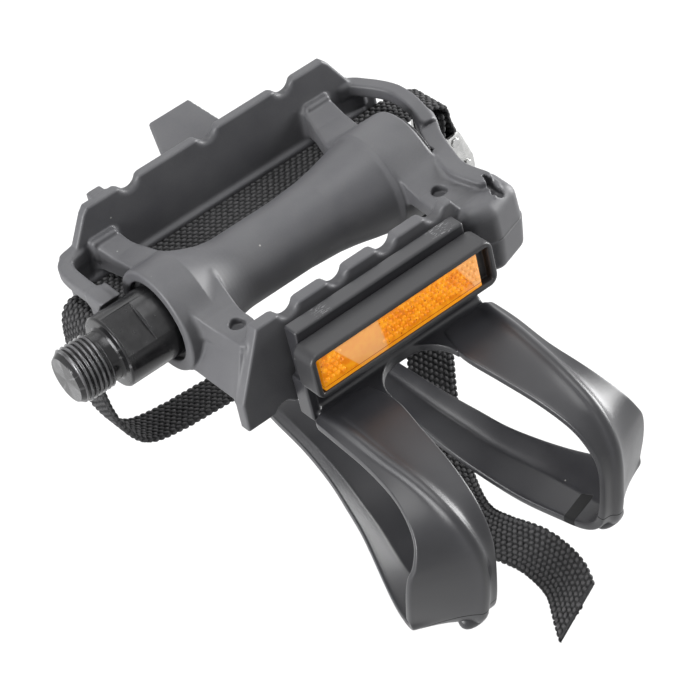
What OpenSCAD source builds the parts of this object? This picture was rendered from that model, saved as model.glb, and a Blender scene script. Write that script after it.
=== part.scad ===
// Bicycle pedal with a moulded toe clip, a webbing strap and reflectors, in millimetres.
// X runs along the spindle from the crank outwards, Y runs towards the rear wall of the body,
// and Z is up as the pedal hangs, with its toe clip below. The origin is on the spindle axis
// at the shoulder that meets the crank.

/* [Spindle] */
// Outside diameter of the crank thread
thread_d = 14.3; // [13:0.1:16]
// Length of the crank thread up to the shoulder
thread_len = 12; // [9:0.5:16]
// Diameter of the collar behind the shoulder
collar_d = 18.6; // [17.4:0.1:20]
// Distance across the two wrench flats
flat_w = 15; // [14:0.5:17]
// Length of the wrench flats
flat_len = 8; // [6:0.5:10]
// Turn of the wrench flats about the spindle axis
flat_turn = 34; // [0:1:180]
// Diameter of the shaft inside the body
shaft_d = 11; // [9.5:0.5:12]
// Diameter of the thread at the outer end of the shaft
tip_thread_d = 8; // [7:0.5:9]

/* [Bearings] */
// Diameter of one bearing ball
ball_d = 3.97; // [3.2:0.01:4.2]
// Number of balls in the inner bearing
inner_ball_n = 12; // [9:1:12]
// Number of balls in the outer bearing
outer_ball_n = 9; // [6:1:9]
// Diameter of the circle through the inner balls
inner_pitch_d = 16; // [15.6:0.1:17]
// Diameter of the circle through the outer balls
outer_pitch_d = 12.4; // [12.2:0.1:13]
// Free gap between a ball and its race
race_gap = 0.05; // [0.02:0.01:0.09]
// Free gap between the turning seal and the collar
seal_gap = 0.06; // [0.03:0.01:0.1]

/* [Body] */
// Distance from the shoulder to the rim of the body
rim_x = 14; // [13:0.5:17]
// Length of the barrel between its two ends
barrel_len = 76.5; // [74:0.5:84]
// Diameter of the barrel at its two ends
boss_d = 27.2; // [26.4:0.2:30]
// Diameter of the barrel at its waist
waist_d = 18.6; // [18:0.2:22]
// Length of the body over its two end bands
body_len = 98.5; // [97:0.5:106]
// Thickness of the rear wall
wall_t = 2.8; // [2.2:0.1:3.4]
// Distance from the spindle axis to the inner face of the rear wall
wall_y = 27.4; // [27:0.1:31]
// Height of the rear wall above the spindle axis
wall_top = 17.7; // [15:0.1:22]
// Half the length of the top edge of the rear wall
wall_top_half = 36.5; // [33:0.5:38]
// Distance between two notches of the rear wall
wall_pitch = 23.5; // [18:0.5:25]
// Distance from the spindle axis to the outer face of the front plate
plate_y = 30.2; // [29:0.1:33]
// Thickness of the front plate
plate_t = 3.6; // [3:0.1:4.4]
// Height of the front plate above the spindle axis
plate_top = 8; // [6:0.1:9.5]
// Depth of the sole side of the body below the spindle axis
sole_z = 17.4; // [16:0.1:20]
// Distance between two notches of the front plate
plate_pitch = 14.5; // [12:0.5:15]
// Length of the flip tab behind the rear wall
tab_len = 14; // [8:0.5:20]
// Height of the end bands
band_h = 3.2; // [2.4:0.1:4]
// Width of the end bands
band_w = 3.8; // [3:0.1:4.4]

/* [Reflectors] */
// Length of the front reflector
front_len = 54; // [46:0.5:58]
// Height of both reflectors
reflector_h = 12.8; // [11:0.1:13.4]
// Depth of both reflectors from back to front
reflector_deep = 7.2; // [6:0.1:9]
// Length of the rear reflector
rear_len = 50; // [40:0.5:56]
// Width of the rim round each lens
rim_w = 1.6; // [1.2:0.1:2.2]

/* [Toe clip] */
// Thickness of the toe clip's wall
clip_t = 2.2; // [1.8:0.1:2.8]
// Height of the rib along each prong
clip_rib_h = 1.2; // [0.6:0.1:2]
// Factor on the reach of the toe clip ahead of the body
clip_reach = 1; // [0.9:0.01:1.1]
// Factor on the depth of the toe clip below the body
clip_drop = 1; // [0.95:0.01:1.1]

/* [Strap] */
// Width of the webbing
strap_w = 12; // [10:0.5:13]
// Thickness of the webbing
strap_t = 1.6; // [1.2:0.1:1.9]

/* [Fasteners] */
// Diameter of the two screws that hold the toe clip
clip_screw_d = 5; // [4:0.5:5]
// Distance between the two screws that hold the toe clip
clip_screw_pitch = 32; // [26:1:38]
// Diameter of the two pegs on the back of the rear reflector
rear_peg_d = 3; // [2.5:0.5:3.5]
// Distance between the two pegs on the back of the rear reflector
rear_peg_pitch = 30; // [24:1:36]

/* [Hidden] */
$fn = 72;
eps = 0.01;

// Places along the spindle
mid_x = rim_x + 40;
end_x = rim_x + barrel_len;
thread_r = thread_d / 2;
collar_r = collar_d / 2;
collar_end = rim_x + 3.6;
collar_free_r = collar_r + 0.55;
flat_start = 0.8;
shaft_r = shaft_d / 2;
tip_r = tip_thread_d / 2;
tip_end = end_x - 1.6;
inner_race_x = rim_x + 7;
outer_race_x = end_x - 10;
ball_r = ball_d / 2;
groove_r = ball_r + race_gap;
inner_pitch_r = inner_pitch_d / 2;
outer_pitch_r = outer_pitch_d / 2;
cone_r = inner_pitch_r + 0.3;
cup_len = 6;
cup_lip = 0.6;
inner_cup_x = inner_race_x - 2;
inner_cup_r = inner_pitch_r + 2.65;
outer_cup_x = outer_race_x - 4;
outer_cup_r = outer_pitch_r + 3;
cap_r = outer_cup_r + 0.8;
cap_depth = 2.4;
cap_lip = 1.2;
cap_lip_t = 1.4;
seal_x = rim_x + 1.5;
seal_t = 1.8;
cone_tail = 3.8;
cone_nose = 1.4;
cone_big_r = outer_pitch_r + 0.2;
cone_flat = 1.2;
nut_h = 3;
washer_t = 0.9;
washer_x = outer_race_x + cone_tail;
nut_x = washer_x + washer_t;
key_w = 1.8;
key_deep = 1;

// Places on the body
boss_r = boss_d / 2;
waist_r = waist_d / 2;
half_len = body_len / 2;
wall_out = wall_y + wall_t;
plate_in = plate_y - plate_t;
bore_r = shaft_r + 1.5;
band_top = 7.7;
band_z = band_top - band_h;
rail_top = 6.6;
rail_w = 5;
rail_z = -12;
block_top = 4.5;
seam_z = -5;
floor_top = -3.4;
floor_t = 1.8;
ledge_w = 1.2;
ledge_h = 4.2;
strap_z = floor_top + 0.9 + strap_t / 2;
strap_y = wall_y - ledge_w - 0.4 - strap_w / 2;
leg_y = strap_y - strap_w / 2 - 0.6;
gusset_in_h = -34.6;
gusset_out_h = 31.4;
gusset_w = 7;
gusset_top = 8.8;
notch_r = 2.6;
post_h = 30.4;
post_y = -20.6;
post_r = 3.7;
post_top = 3.6;
post_hole_r = 1.9;
tab_w = 9.3;
tab_end_w = 6.3;
tab_t = 2.3;

// Places on the reflectors and their fasteners
clip_screw_z = -3;
flange_in = plate_y + 1.4;
flange_t = 4.6;
flange_out = flange_in + flange_t;
flange_top = 5.9;
flange_half = 25;
front_z = -3;
rear_z = 2.8;
lens_t = 2;
lens_set = 0.4;
housing_r = 2;
peg_len = 1.9;
screw_head_h = 2.6;
nut_t = 3;
nut_r = clip_screw_d / 2 + 2.1;

// Places on the toe clip
root_y = -flange_in;
root_z = -sole_z;
loop_z = root_z - 31.4 * clip_drop;
sleeve_half = 9;
sleeve_h = 6;
prong_end = strap_y - strap_w / 2 - 0.4;
arch_y = root_y - 14.4 * clip_reach;
arch_r = 9.8;

// Places on the buckle, which hangs on the strap beside the outer end of the body
buckle_x = half_len + 10;
buckle_z = -25;
run_x = -0.35;
pin_r = 1;
bar_r = 1.2;
roller_r = 1.6;
hub_r = 2.3;
turn_gap = 0.05;
jaw_pin = [-4.4, -4];
roller_pin = [2.15, 2.5];
bar_pin = [-0.35, 10.5];
cheek_t = 1;
cheek_in = strap_w / 2 + 0.7;
plate_in_x = 0.85;
plate_out_x = 1.85;
pin_len = 2 * (cheek_in + cheek_t) + 0.8;
side_gap = 0.35;
jaw_w = 2 * (cheek_in - side_gap);
jaw_reach = run_x - strap_t / 2 - 0.35 - jaw_pin[0];
lever_len = 8;
lever_t = 1.2;
lever_x = jaw_pin[0] - hub_r + 0.25;
spring_r = 1.9;
spring_w = 4.2;
fold_r = bar_r + 0.08 + strap_t / 2;
turn_r = roller_r + 0.08 + strap_t / 2;
rivet_z = 17.4;
rivet_r = 0.9;
rivet_y = 3;
strap_end = strap_t / 2 + 0.06;

// A smooth rise from 0 to 1
function ease(u) = (1 - cos(180 * u)) / 2;
// One coordinate of a smooth curve through four neighbours
function blend4(a, b, c, d, u) =
    b + 0.5 * u * (c - a + u * (2 * a - 5 * b + 4 * c - d + u * (3 * (b - c) + d - a)));
// The rows of a list, with smooth rows added between them
function smooth(rows, n) = [for (i = [0 : len(rows) - 2]) for (k = [0 : n - 1])
    blend4(rows[max(i - 1, 0)], rows[i], rows[i + 1], rows[min(i + 2, len(rows) - 1)], k / n),
    rows[len(rows) - 1]];
function unit(v) = v / norm(v);
function step_at(p, i) = unit(p[min(i + 1, len(p) - 1)] - p[max(i - 1, 0)]);
// A flat strip of constant width along a path
function strip(p, w) = concat(
    [for (i = [0 : len(p) - 1]) p[i] + w / 2 * [-step_at(p, i)[1], step_at(p, i)[0]]],
    [for (i = [len(p) - 1 : -1 : 0]) p[i] - w / 2 * [-step_at(p, i)[1], step_at(p, i)[0]]]);

// Turns a shape about Z into one about the spindle axis
module along_x(x = 0) translate([x, 0, 0]) rotate([0, 90, 0]) children();
// Turns a flat outline in X and Z into a plate between two Y values
module plate_between(y1, y2) translate([0, y2, 0]) rotate([90, 0, 0]) linear_extrude(y2 - y1) children();
// A ring of equal balls round the spindle axis
module ball_ring(x, r, n) for (i = [0 : n - 1]) rotate([360 * i / n, 0, 0])
    translate([x, 0, r]) sphere(r = ball_r, $fn = 24);
// The groove that a ring of balls runs in
module groove(x, r) along_x(x) rotate_extrude() translate([r, 0]) circle(r = groove_r, $fn = 32);

module spindle() color("dimgray") difference() {
    along_x() rotate_extrude() polygon([
        [0, -thread_len], [thread_r - 1, -thread_len], [thread_r, -thread_len + 1],
        [thread_r, 0], [collar_r - 0.7, 0], [collar_r, 0.7], [collar_r, collar_end - 0.5],
        [collar_r - 0.5, collar_end], [cone_r, collar_end], [cone_r, inner_race_x - 2.6],
        [shaft_r + 0.2, inner_race_x + 2.2], [shaft_r, inner_race_x + 3],
        [tip_r + 0.8, outer_race_x - 6], [tip_r, outer_race_x - 5],
        [tip_r, tip_end - 0.6], [tip_r - 0.6, tip_end], [0, tip_end]]);
    groove(inner_race_x, inner_pitch_r);
    for (side = [0, 180]) rotate([flat_turn + side, 0, 0])
        translate([flat_start, -collar_r, flat_w / 2]) cube([flat_len, collar_d, collar_r]);
    translate([outer_race_x - 4, -key_w / 2, tip_r - key_deep]) cube([tip_end, key_w, tip_r]);
}

module outer_cone() color("silver") difference() {
    along_x(outer_race_x) rotate_extrude() polygon([
        [tip_r, -cone_nose], [tip_r + 0.5, -cone_nose], [cone_big_r, cone_tail - cone_flat],
        [cone_big_r, cone_tail], [tip_r, cone_tail]]);
    groove(outer_race_x, outer_pitch_r);
    for (side = [-1, 1]) translate([outer_race_x + cone_tail - 0.9, side * cone_big_r, 0])
        cube([2, 1.6, 2 * cone_big_r], center = true);
}

module lock_washer() color("silver") along_x(washer_x) {
    difference() {
        cylinder(r = tip_r + 2.4, h = washer_t);
        translate([0, 0, -eps]) cylinder(r = tip_r, h = washer_t + 2 * eps);
    }
    translate([-tip_r - 0.6, -key_w / 2 + 0.05, 0]) cube([key_deep + 0.5, key_w - 0.1, washer_t]);
}

module lock_nut() color("silver") along_x(nut_x) difference() {
    cylinder(r = tip_r + 2.9, h = nut_h, $fn = 6);
    translate([0, 0, -eps]) cylinder(r = tip_r, h = nut_h + 2 * eps);
}

module inner_balls() color("silver") ball_ring(inner_race_x, inner_pitch_r, inner_ball_n);
module outer_balls() color("silver") ball_ring(outer_race_x, outer_pitch_r, outer_ball_n);

module inner_cup() color("silver") difference() {
    along_x(inner_cup_x) rotate_extrude() polygon([
        [inner_cup_r - 0.5, 0], [inner_cup_r, 0], [inner_cup_r, cup_len],
        [inner_pitch_r - cup_lip, cup_len], [inner_pitch_r - cup_lip, cup_len - 0.8]]);
    groove(inner_race_x, inner_pitch_r);
}

module outer_cup() color("silver") difference() {
    along_x(outer_cup_x) rotate_extrude() polygon([
        [outer_cup_r - 0.6, cup_len], [outer_cup_r, cup_len], [outer_cup_r, 0],
        [outer_pitch_r - cup_lip, 0], [outer_pitch_r - cup_lip, 0.8]]);
    groove(outer_race_x, outer_pitch_r);
}

module dust_seal() color([0.1, 0.1, 0.1]) along_x(seal_x) difference() {
    cylinder(r = inner_cup_r, h = seal_t);
    translate([0, 0, -eps]) cylinder(r = collar_r + seal_gap, h = seal_t + 2 * eps);
}

module dust_cap() color([0.2, 0.2, 0.2]) along_x(end_x) difference() {
    union() {
        cylinder(r = cap_r + cap_lip, h = cap_lip_t);
        translate([0, 0, -cap_depth]) cylinder(r = cap_r, h = cap_depth + eps);
    }
    translate([0, 0, -cap_depth - eps]) cylinder(r = cap_r - 1.4, h = cap_depth);
    translate([0, 0, 0.6]) cylinder(r = 3.6, h = 2, $fn = 6);
}

// Outline of the barrel: a boss, a waist and a longer boss
barrel_side = concat([[0, rim_x], [boss_r - 0.7, rim_x], [boss_r, rim_x + 0.7]],
    [for (u = [0 : 1 / 14 : 1]) [boss_r - (boss_r - waist_r) * ease(u), mid_x - 31 + 14 * u]],
    [for (u = [0 : 1 / 18 : 1]) [waist_r + (boss_r - 0.3 - waist_r) * ease(u), mid_x + 26 * u]],
    [[boss_r - 0.3, end_x - 0.7], [boss_r - 1, end_x], [0, end_x]]);

// One half of the outline of the rear wall, from its sole side to its top edge
function wall_half(end) = [[end, -sole_z + 5], [end, band_top], [wall_top_half + 5.1, band_top + 1.1],
    [wall_top_half + 0.9, wall_top - 1.6], [wall_top_half - 0.6, wall_top]];

// Middle line of the end band on the crank side, which stops short of the turning collar
crank_band = smooth([[-41, wall_y + 1.5], [-44.4, wall_y + 0.8], [-46.6, wall_y - 2], [-47.25, 19],
    [-47.25, 13], [-47.25, 7.6]], 5);
// Middle line of the end band that runs down the outer side, and of the rail that follows it
outer_band = smooth([[39.6, wall_y + 1.6], [42.2, wall_y + 0.6], [44.3, wall_y - 2.8], [46.2, 20.6],
    [47.4, 16], [47.1, 10], [45.7, 4], [44.6, 0.5]], 5);
outer_rail = smooth([[45.6, 2.8], [44, -0.6], [41.7, -5], [39.1, -12.5], [37.4, -19.5], [38.6, -27]], 5);

module at_mid() translate([mid_x, 0, 0]) children();
module band(line, w, z1, z2) at_mid() translate([0, 0, z1]) linear_extrude(z2 - z1)
    scale([half_len / 49.25, 1]) polygon(strip(line, w));

module rear_wall() difference() {
    plate_between(wall_y, wall_out) at_mid() polygon(concat([for (p = wall_half(half_len - 4)) [-p[0], p[1]]],
        [for (i = [4 : -1 : 0]) wall_half(half_len - 7)[i]]));
    for (i = [-1, 0, 1]) translate([mid_x + i * wall_pitch, wall_y + wall_t / 2, wall_top + 0.5])
        rotate([90, 0, 0]) cylinder(r = notch_r, h = wall_t + 1, center = true, $fn = 32);
    for (i = [-2.5 : 1 : 2.5]) translate([mid_x + i * plate_pitch, wall_y + wall_t / 2, -sole_z + 4.2])
        rotate([90, 0, 0]) cylinder(r = notch_r, h = wall_t + 1, center = true, $fn = 32);
}

module front_plate() difference() {
    plate_between(-plate_y, -plate_in) polygon([
        [mid_x - 39.8, -sole_z], [mid_x - 39.5, -sole_z + 8], [mid_x - 31, plate_top],
        [mid_x + 27, plate_top], [mid_x + 29, plate_top - 3.5], [mid_x + 36, plate_top - 3.5],
        [mid_x + 38, -sole_z]]);
    for (i = [-1.5 : 1 : 1.5]) translate([mid_x + i * plate_pitch, -plate_y + plate_t / 2, plate_top + 0.4])
        rotate([90, 0, 0]) cylinder(r = notch_r, h = plate_t + 1, center = true, $fn = 32);
    for (i = [-2 : 1 : 2]) translate([mid_x + i * plate_pitch, -plate_y + plate_t / 2, -sole_z - 1])
        rotate([90, 0, 0]) cylinder(r = notch_r, h = plate_t + 1, center = true, $fn = 32);
}

// Web between a boss of the barrel and the front plate
module web(side) at_mid() hull() for (p = [[32, 3.6], [37.5, -10]])
    translate([side * p[0] - 1.8, -plate_in - 0.6, p[1]]) cube([3.6, plate_in - 6, 0.4]);

// Block at the outer front corner, in two halves that widen to their parting plane
module corner_block() at_mid() for (half = [[seam_z, block_top], [seam_z, -sole_z]]) hull() {
    for (p = [[34, -24], [40.6, -25.6], [40.4, -30.4], [34, -32.6]])
        translate([p[0], p[1], half[0] - 0.05]) cylinder(r = 4.2, h = 0.1, $fn = 32);
    for (p = [[34, -24], [38.6, -26.6], [38.4, -30.6], [34, -31.6]])
        translate([p[0], p[1], half[1] - 0.05]) cylinder(r = 3, h = 0.1, $fn = 32);
}

// Gusset between the barrel and the rear wall, open where the strap runs through
module gusset(h) at_mid() translate([h - gusset_w / 2, 0, 0]) rotate([90, 0, 90]) linear_extrude(gusset_w) {
    polygon([[10, 0.4], [10, 6], [13, 4.2], [18, 4.8], [wall_y - 2, gusset_top - 0.6],
        [wall_y + 1, gusset_top], [wall_y + 1, 0.4]]);
    polygon([[8, -sole_z + 6], [8, floor_top], [wall_y + 1, floor_top], [wall_y + 1, -sole_z + 6]]);
}

// Floor under the strap, with a leg that carries the end band beside the collar
module strap_floor() at_mid() difference() {
    union() {
        translate([-half_len + 5, 6, floor_top - floor_t]) cube([body_len - 10, wall_y - 5, floor_t]);
        translate([-half_len + 0.2, 6, floor_top - floor_t])
            cube([5.6, leg_y - 6, band_top - floor_top + floor_t]);
    }
    for (i = [-1, 0, 1]) translate([20 * i - 8, 15, floor_top - floor_t - 1]) cube([16, 8, floor_t + 2]);
}

// Free room for the strap on its floor
module strap_channel() at_mid()
    translate([-half_len, strap_y - strap_w / 2 - 0.1, strap_z - strap_t / 2 - 0.1])
        cube([body_len, strap_w + 0.2, strap_t + 0.4]);

module barrel_bores() {
    along_x(rim_x - 1) cylinder(r = inner_cup_r, h = inner_cup_x + cup_len - rim_x + 1);
    along_x(rim_x) cylinder(r = bore_r, h = barrel_len);
    along_x(outer_cup_x) cylinder(r = outer_cup_r, h = end_x - outer_cup_x + 1);
    along_x(end_x - cap_depth) cylinder(r = cap_r, h = cap_depth + 1);
    along_x(end_x) cylinder(r = cap_r + cap_lip + 0.4, h = cap_lip_t + 0.4);
    along_x(-thread_len) cylinder(r = collar_free_r, h = rim_x + thread_len);
}

module pedal_body() color([0.3, 0.3, 0.31]) difference() {
    union() {
        along_x() rotate_extrude() polygon(barrel_side);
        rear_wall();
        front_plate();
        band(crank_band, band_w, band_z, band_top);
        band(outer_band, band_w, band_z, band_top);
        band(outer_rail, rail_w, rail_z, rail_top);
        web(-1);
        web(1);
        corner_block();
        gusset(gusset_in_h);
        gusset(gusset_out_h);
        strap_floor();
        at_mid() {
            translate([-half_len + 5, wall_y - ledge_w, floor_top])
                cube([body_len - 10, ledge_w + 1, ledge_h]);
            for (side = [-1, 1]) translate([side * post_h, post_y, -10])
                cylinder(r = post_r, h = post_top + 10);
            translate([0, wall_out - 1, wall_top - tab_t - 0.3]) linear_extrude(tab_t)
                polygon([[-tab_w, 0], [tab_w, 0], [tab_end_w, tab_len + 1], [-tab_end_w, tab_len + 1]]);
            translate([-32.8, wall_out - 1, wall_top - 3]) cube([4.2, 3.6, 2.9]);
            for (side = [-1, 1]) translate([side * 21 - 1.3, 4, -12]) cube([2.6, wall_y - 3, 8]);
        }
    }
    barrel_bores();
    strap_channel();
    at_mid() {
        for (side = [-1, 1]) translate([side * post_h, post_y, -3])
            cylinder(r = post_hole_r, h = 9, $fn = 32);
        hull() for (y = [-33.2, -26.2]) translate([38.6, y, 2.2]) cylinder(d = 2.2, h = 4, $fn = 24);
        for (side = [-1, 1]) translate([side * clip_screw_pitch / 2, -plate_y - 1, clip_screw_z])
            rotate([-90, 0, 0]) cylinder(d = clip_screw_d, h = plate_t + 2);
        for (side = [-1, 1]) translate([side * rear_peg_pitch / 2, wall_out - peg_len - 0.1, rear_z])
            rotate([-90, 0, 0]) cylinder(d = rear_peg_d, h = wall_t);
    }
}

// Rows along one prong of the toe clip, from its root forwards, down round the toe and back:
// Y and Z of the outer face, half-width at the inner edge, at the rib and at the outer edge,
// depth of the inner edge and of the outer edge, and the share of the rib
prong_rows = [
    [-37, -17.4, 12, 24, 27, 0, 1, 0],
    [-47, -17.9, 9.8, 24, 27.3, 0, 1, 1],
    [-58, -19.6, 11.3, 23.7, 27.3, 0, 1, 1],
    [-70, -21.6, 13, 22.8, 28.8, 0, 1.2, 1],
    [-79.5, -25.6, 14.6, 22.2, 31.6, 0, 3, 1],
    [-84.2, -31.8, 15.6, 21.5, 34.2, 0, 5.5, 1],
    [-85.3, -38, 16.2, 20.9, 35.6, 0, 7, 1],
    [-84.2, -46, 16.4, 20.8, 36.2, 0, 7.7, 1],
    [-82.2, -54, 16.3, 21, 36, 0, 8, 1],
    [-79.6, -60.4, 16, 21.3, 35.4, 0, 7.4, 1],
    [-74, -64, 15.2, 21.5, 34.8, 0, 5, 0.5],
    [-66, -64.2, 14.2, 21.5, 33, 0, 4.4, 0],
    [-54, -63.4, 12.2, 20.5, 29.2, 0, 3.8, 0],
    [-40, -61, 10.2, 17, 24, 0, 3.4, 0],
    [-31, -58.6, 9, 15.5, 21.6, 0, 3.2, 0],
    [-22, -56.4, 8.4, 14, 19.4, 0, 3, 0],
    [-10, -54, 8, 12.8, 17.6, 0, 2.6, 0],
    [2, -52.4, 7.6, 12, 16.6, 0, 2, 0],
    [8, -51.8, 6.6, 11.4, 15.6, 0, 1.6, 0],
    [13.4, -51.3, 5.6, 10.6, 14.6, 0, 1.2, 0]];
// The place in the table above that lies at the root of the prong, and the table's last Y
row_root = [-31.6, -17.4];
row_end = 13.4;
prong_path = [for (r = smooth(prong_rows, 4)) let (ahead = r[0] < row_root[0]) concat(
    [root_y + (r[0] - row_root[0]) * (ahead ? clip_reach : (prong_end - root_y) / (row_end - row_root[0])),
     root_z + (r[1] - row_root[1]) * clip_drop],
    [for (k = [2 : 7]) r[k]])];

// Cross-section of the prong in half-width and depth, round from the inner edge
function prong_section(r) = let (
        hi = r[2], hr = r[3], hk = r[4], di = r[5], dk = r[6], rib = r[7] * clip_rib_h,
        top = [for (u = [0, 0.2, 0.45, 0.72, 0.94, 1]) [hr + 1.5 + (hk - hr - 1.5) * u, dk * pow(u, 0.8)]])
    concat([[hi, di + 0.3], [hi + 0.5, di], [hr - 1.9, 0], [hr - 1.3, -rib], [hr + 0.7, -rib]], top,
        [for (i = [5 : -1 : 0]) top[i] + [0, clip_t * (i == 5 ? 0.8 : 1)]],
        [[hr + 0.7, clip_t], [hr - 1.3, clip_t], [hr - 1.9, clip_t], [hi + 0.5, di + clip_t],
         [hi, di + clip_t - 0.3]]);

// Faces of a closed band of rings with m points each, the ring's halves facing each other
function band_faces(n, m, flip) = [for (f = concat(
    [for (i = [0 : n - 2]) for (k = [0 : m - 1]) let (j = (k + 1) % m, a = i * m, b = a + m)
        each [[a + k, b + j, b + k], [a + k, a + j, b + j]]],
    [for (end = [0, 1]) for (k = [0 : m / 2 - 2]) let (a = end * (n - 1) * m, q = [a + k, a + k + 1,
            a + m - 2 - k, a + m - 1 - k])
        each end == 0 ? [[q[0], q[2], q[1]], [q[0], q[3], q[2]]] : [[q[0], q[1], q[2]], [q[0], q[2], q[3]]]]))
    flip ? [f[2], f[1], f[0]] : f];

module prong(side) {
    flat = [for (r = prong_path) [r[0], r[1]]];
    n = len(flat);
    rings = [for (i = [0 : n - 1]) let (s = step_at(flat, i), c = prong_section(prong_path[i]))
        [for (p = c) [mid_x + side * p[0], flat[i][0] - s[1] * p[1], flat[i][1] + s[0] * p[1]]]];
    polyhedron([for (r = rings) each r], band_faces(n, len(rings[0]), side < 0), convexity = 8);
}

module toe_clip() color([0.28, 0.28, 0.29]) difference() {
    union() {
        prong(-1);
        prong(1);
        at_mid() {
            translate([0, 0, root_z - clip_t]) linear_extrude(clip_t) difference() {
                translate([-flange_half, arch_y]) square([2 * flange_half, -arch_y - flange_in]);
                translate([0, arch_y]) circle(r = arch_r);
            }
            translate([-flange_half, -flange_out, root_z - clip_t])
                cube([2 * flange_half, flange_t, flange_top - root_z + clip_t]);
            for (side = [-1, 1]) translate([side * clip_screw_pitch / 2, -plate_y, clip_screw_z])
                rotate([90, 0, 0]) cylinder(d = 11, h = flange_in - plate_y + eps);
            translate([-sleeve_half, strap_y - strap_w / 2 - 3, loop_z - 3.4])
                cube([2 * sleeve_half, strap_w + 6, sleeve_h]);
            translate([-14.5, prong_end - 2.8, loop_z - 3.4]) cube([29, 2.6, 2.8]);
        }
    }
    at_mid() {
        translate([-20, strap_y - strap_w / 2 - 0.5, loop_z - strap_t / 2 - 0.5])
            cube([40, strap_w + 1, strap_t + 1]);
        for (side = [-1, 1]) translate([side * clip_screw_pitch / 2, -plate_y + 1, clip_screw_z])
            rotate([90, 0, 0]) cylinder(d = clip_screw_d, h = 2 * flange_t);
    }
}

module clip_screws() color("silver") at_mid() for (side = [-1, 1])
    translate([side * clip_screw_pitch / 2, -plate_in, clip_screw_z]) rotate([90, 0, 0]) difference() {
        union() {
            cylinder(d = clip_screw_d, h = flange_out - plate_in + 4);
            translate([0, 0, -screw_head_h]) cylinder(d = clip_screw_d + 4, h = screw_head_h);
        }
        for (a = [0, 90]) rotate([0, 0, a]) translate([-2, -0.45, -3]) cube([4, 0.9, 1.8]);
    }

module clip_nuts() color("silver") at_mid() for (side = [-1, 1])
    translate([side * clip_screw_pitch / 2, -flange_out - 0.1, clip_screw_z]) rotate([90, 0, 0])
        difference() {
            cylinder(r = nut_r, h = nut_t, $fn = 6);
            translate([0, 0, -eps]) cylinder(d = clip_screw_d, h = nut_t + 2 * eps);
        }

// A reflector housing that faces along Y, with its back on the plane Y = 0
module housing(len) difference() {
    hull() for (x = [-1, 1]) for (z = [-1, 1])
        translate([x * (len / 2 - housing_r), 0, z * (reflector_h / 2 - housing_r)])
            rotate([-90, 0, 0]) cylinder(r = housing_r, h = reflector_deep, $fn = 24);
    translate([-len / 2 + rim_w, reflector_deep - lens_t - lens_set, -reflector_h / 2 + rim_w])
        cube([len - 2 * rim_w, lens_t + 1, reflector_h - 2 * rim_w]);
}
// The lens that fills the recess of a housing, set a little behind the rim
module lens(len) translate([-len / 2 + rim_w, reflector_deep - lens_t - lens_set, -reflector_h / 2 + rim_w])
    cube([len - 2 * rim_w, lens_t, reflector_h - 2 * rim_w]);

module at_front() translate([mid_x, -flange_out, front_z]) rotate([0, 0, 180]) children();
module at_rear() translate([mid_x, wall_out, rear_z]) children();

module front_reflector_housing() color([0.16, 0.16, 0.17]) difference() {
    at_front() housing(front_len);
    at_mid() for (side = [-1, 1]) translate([side * clip_screw_pitch / 2, -flange_out + 1, clip_screw_z])
        rotate([90, 0, 0]) {
            cylinder(r = nut_r + 0.05, h = nut_t + 1.2, $fn = 6);
            cylinder(d = clip_screw_d + 0.4, h = reflector_deep - lens_t - 0.2);
        }
}
module front_reflector_lens() color("orange") at_front() lens(front_len);
module rear_reflector_housing() color([0.16, 0.16, 0.17]) at_rear() {
    housing(rear_len);
    for (side = [-1, 1]) translate([side * rear_peg_pitch / 2, -peg_len, 0]) rotate([-90, 0, 0])
        cylinder(d = rear_peg_d, h = peg_len + 1);
}
module rear_reflector_lens() color("orange") at_rear() lens(rear_len);

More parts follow.
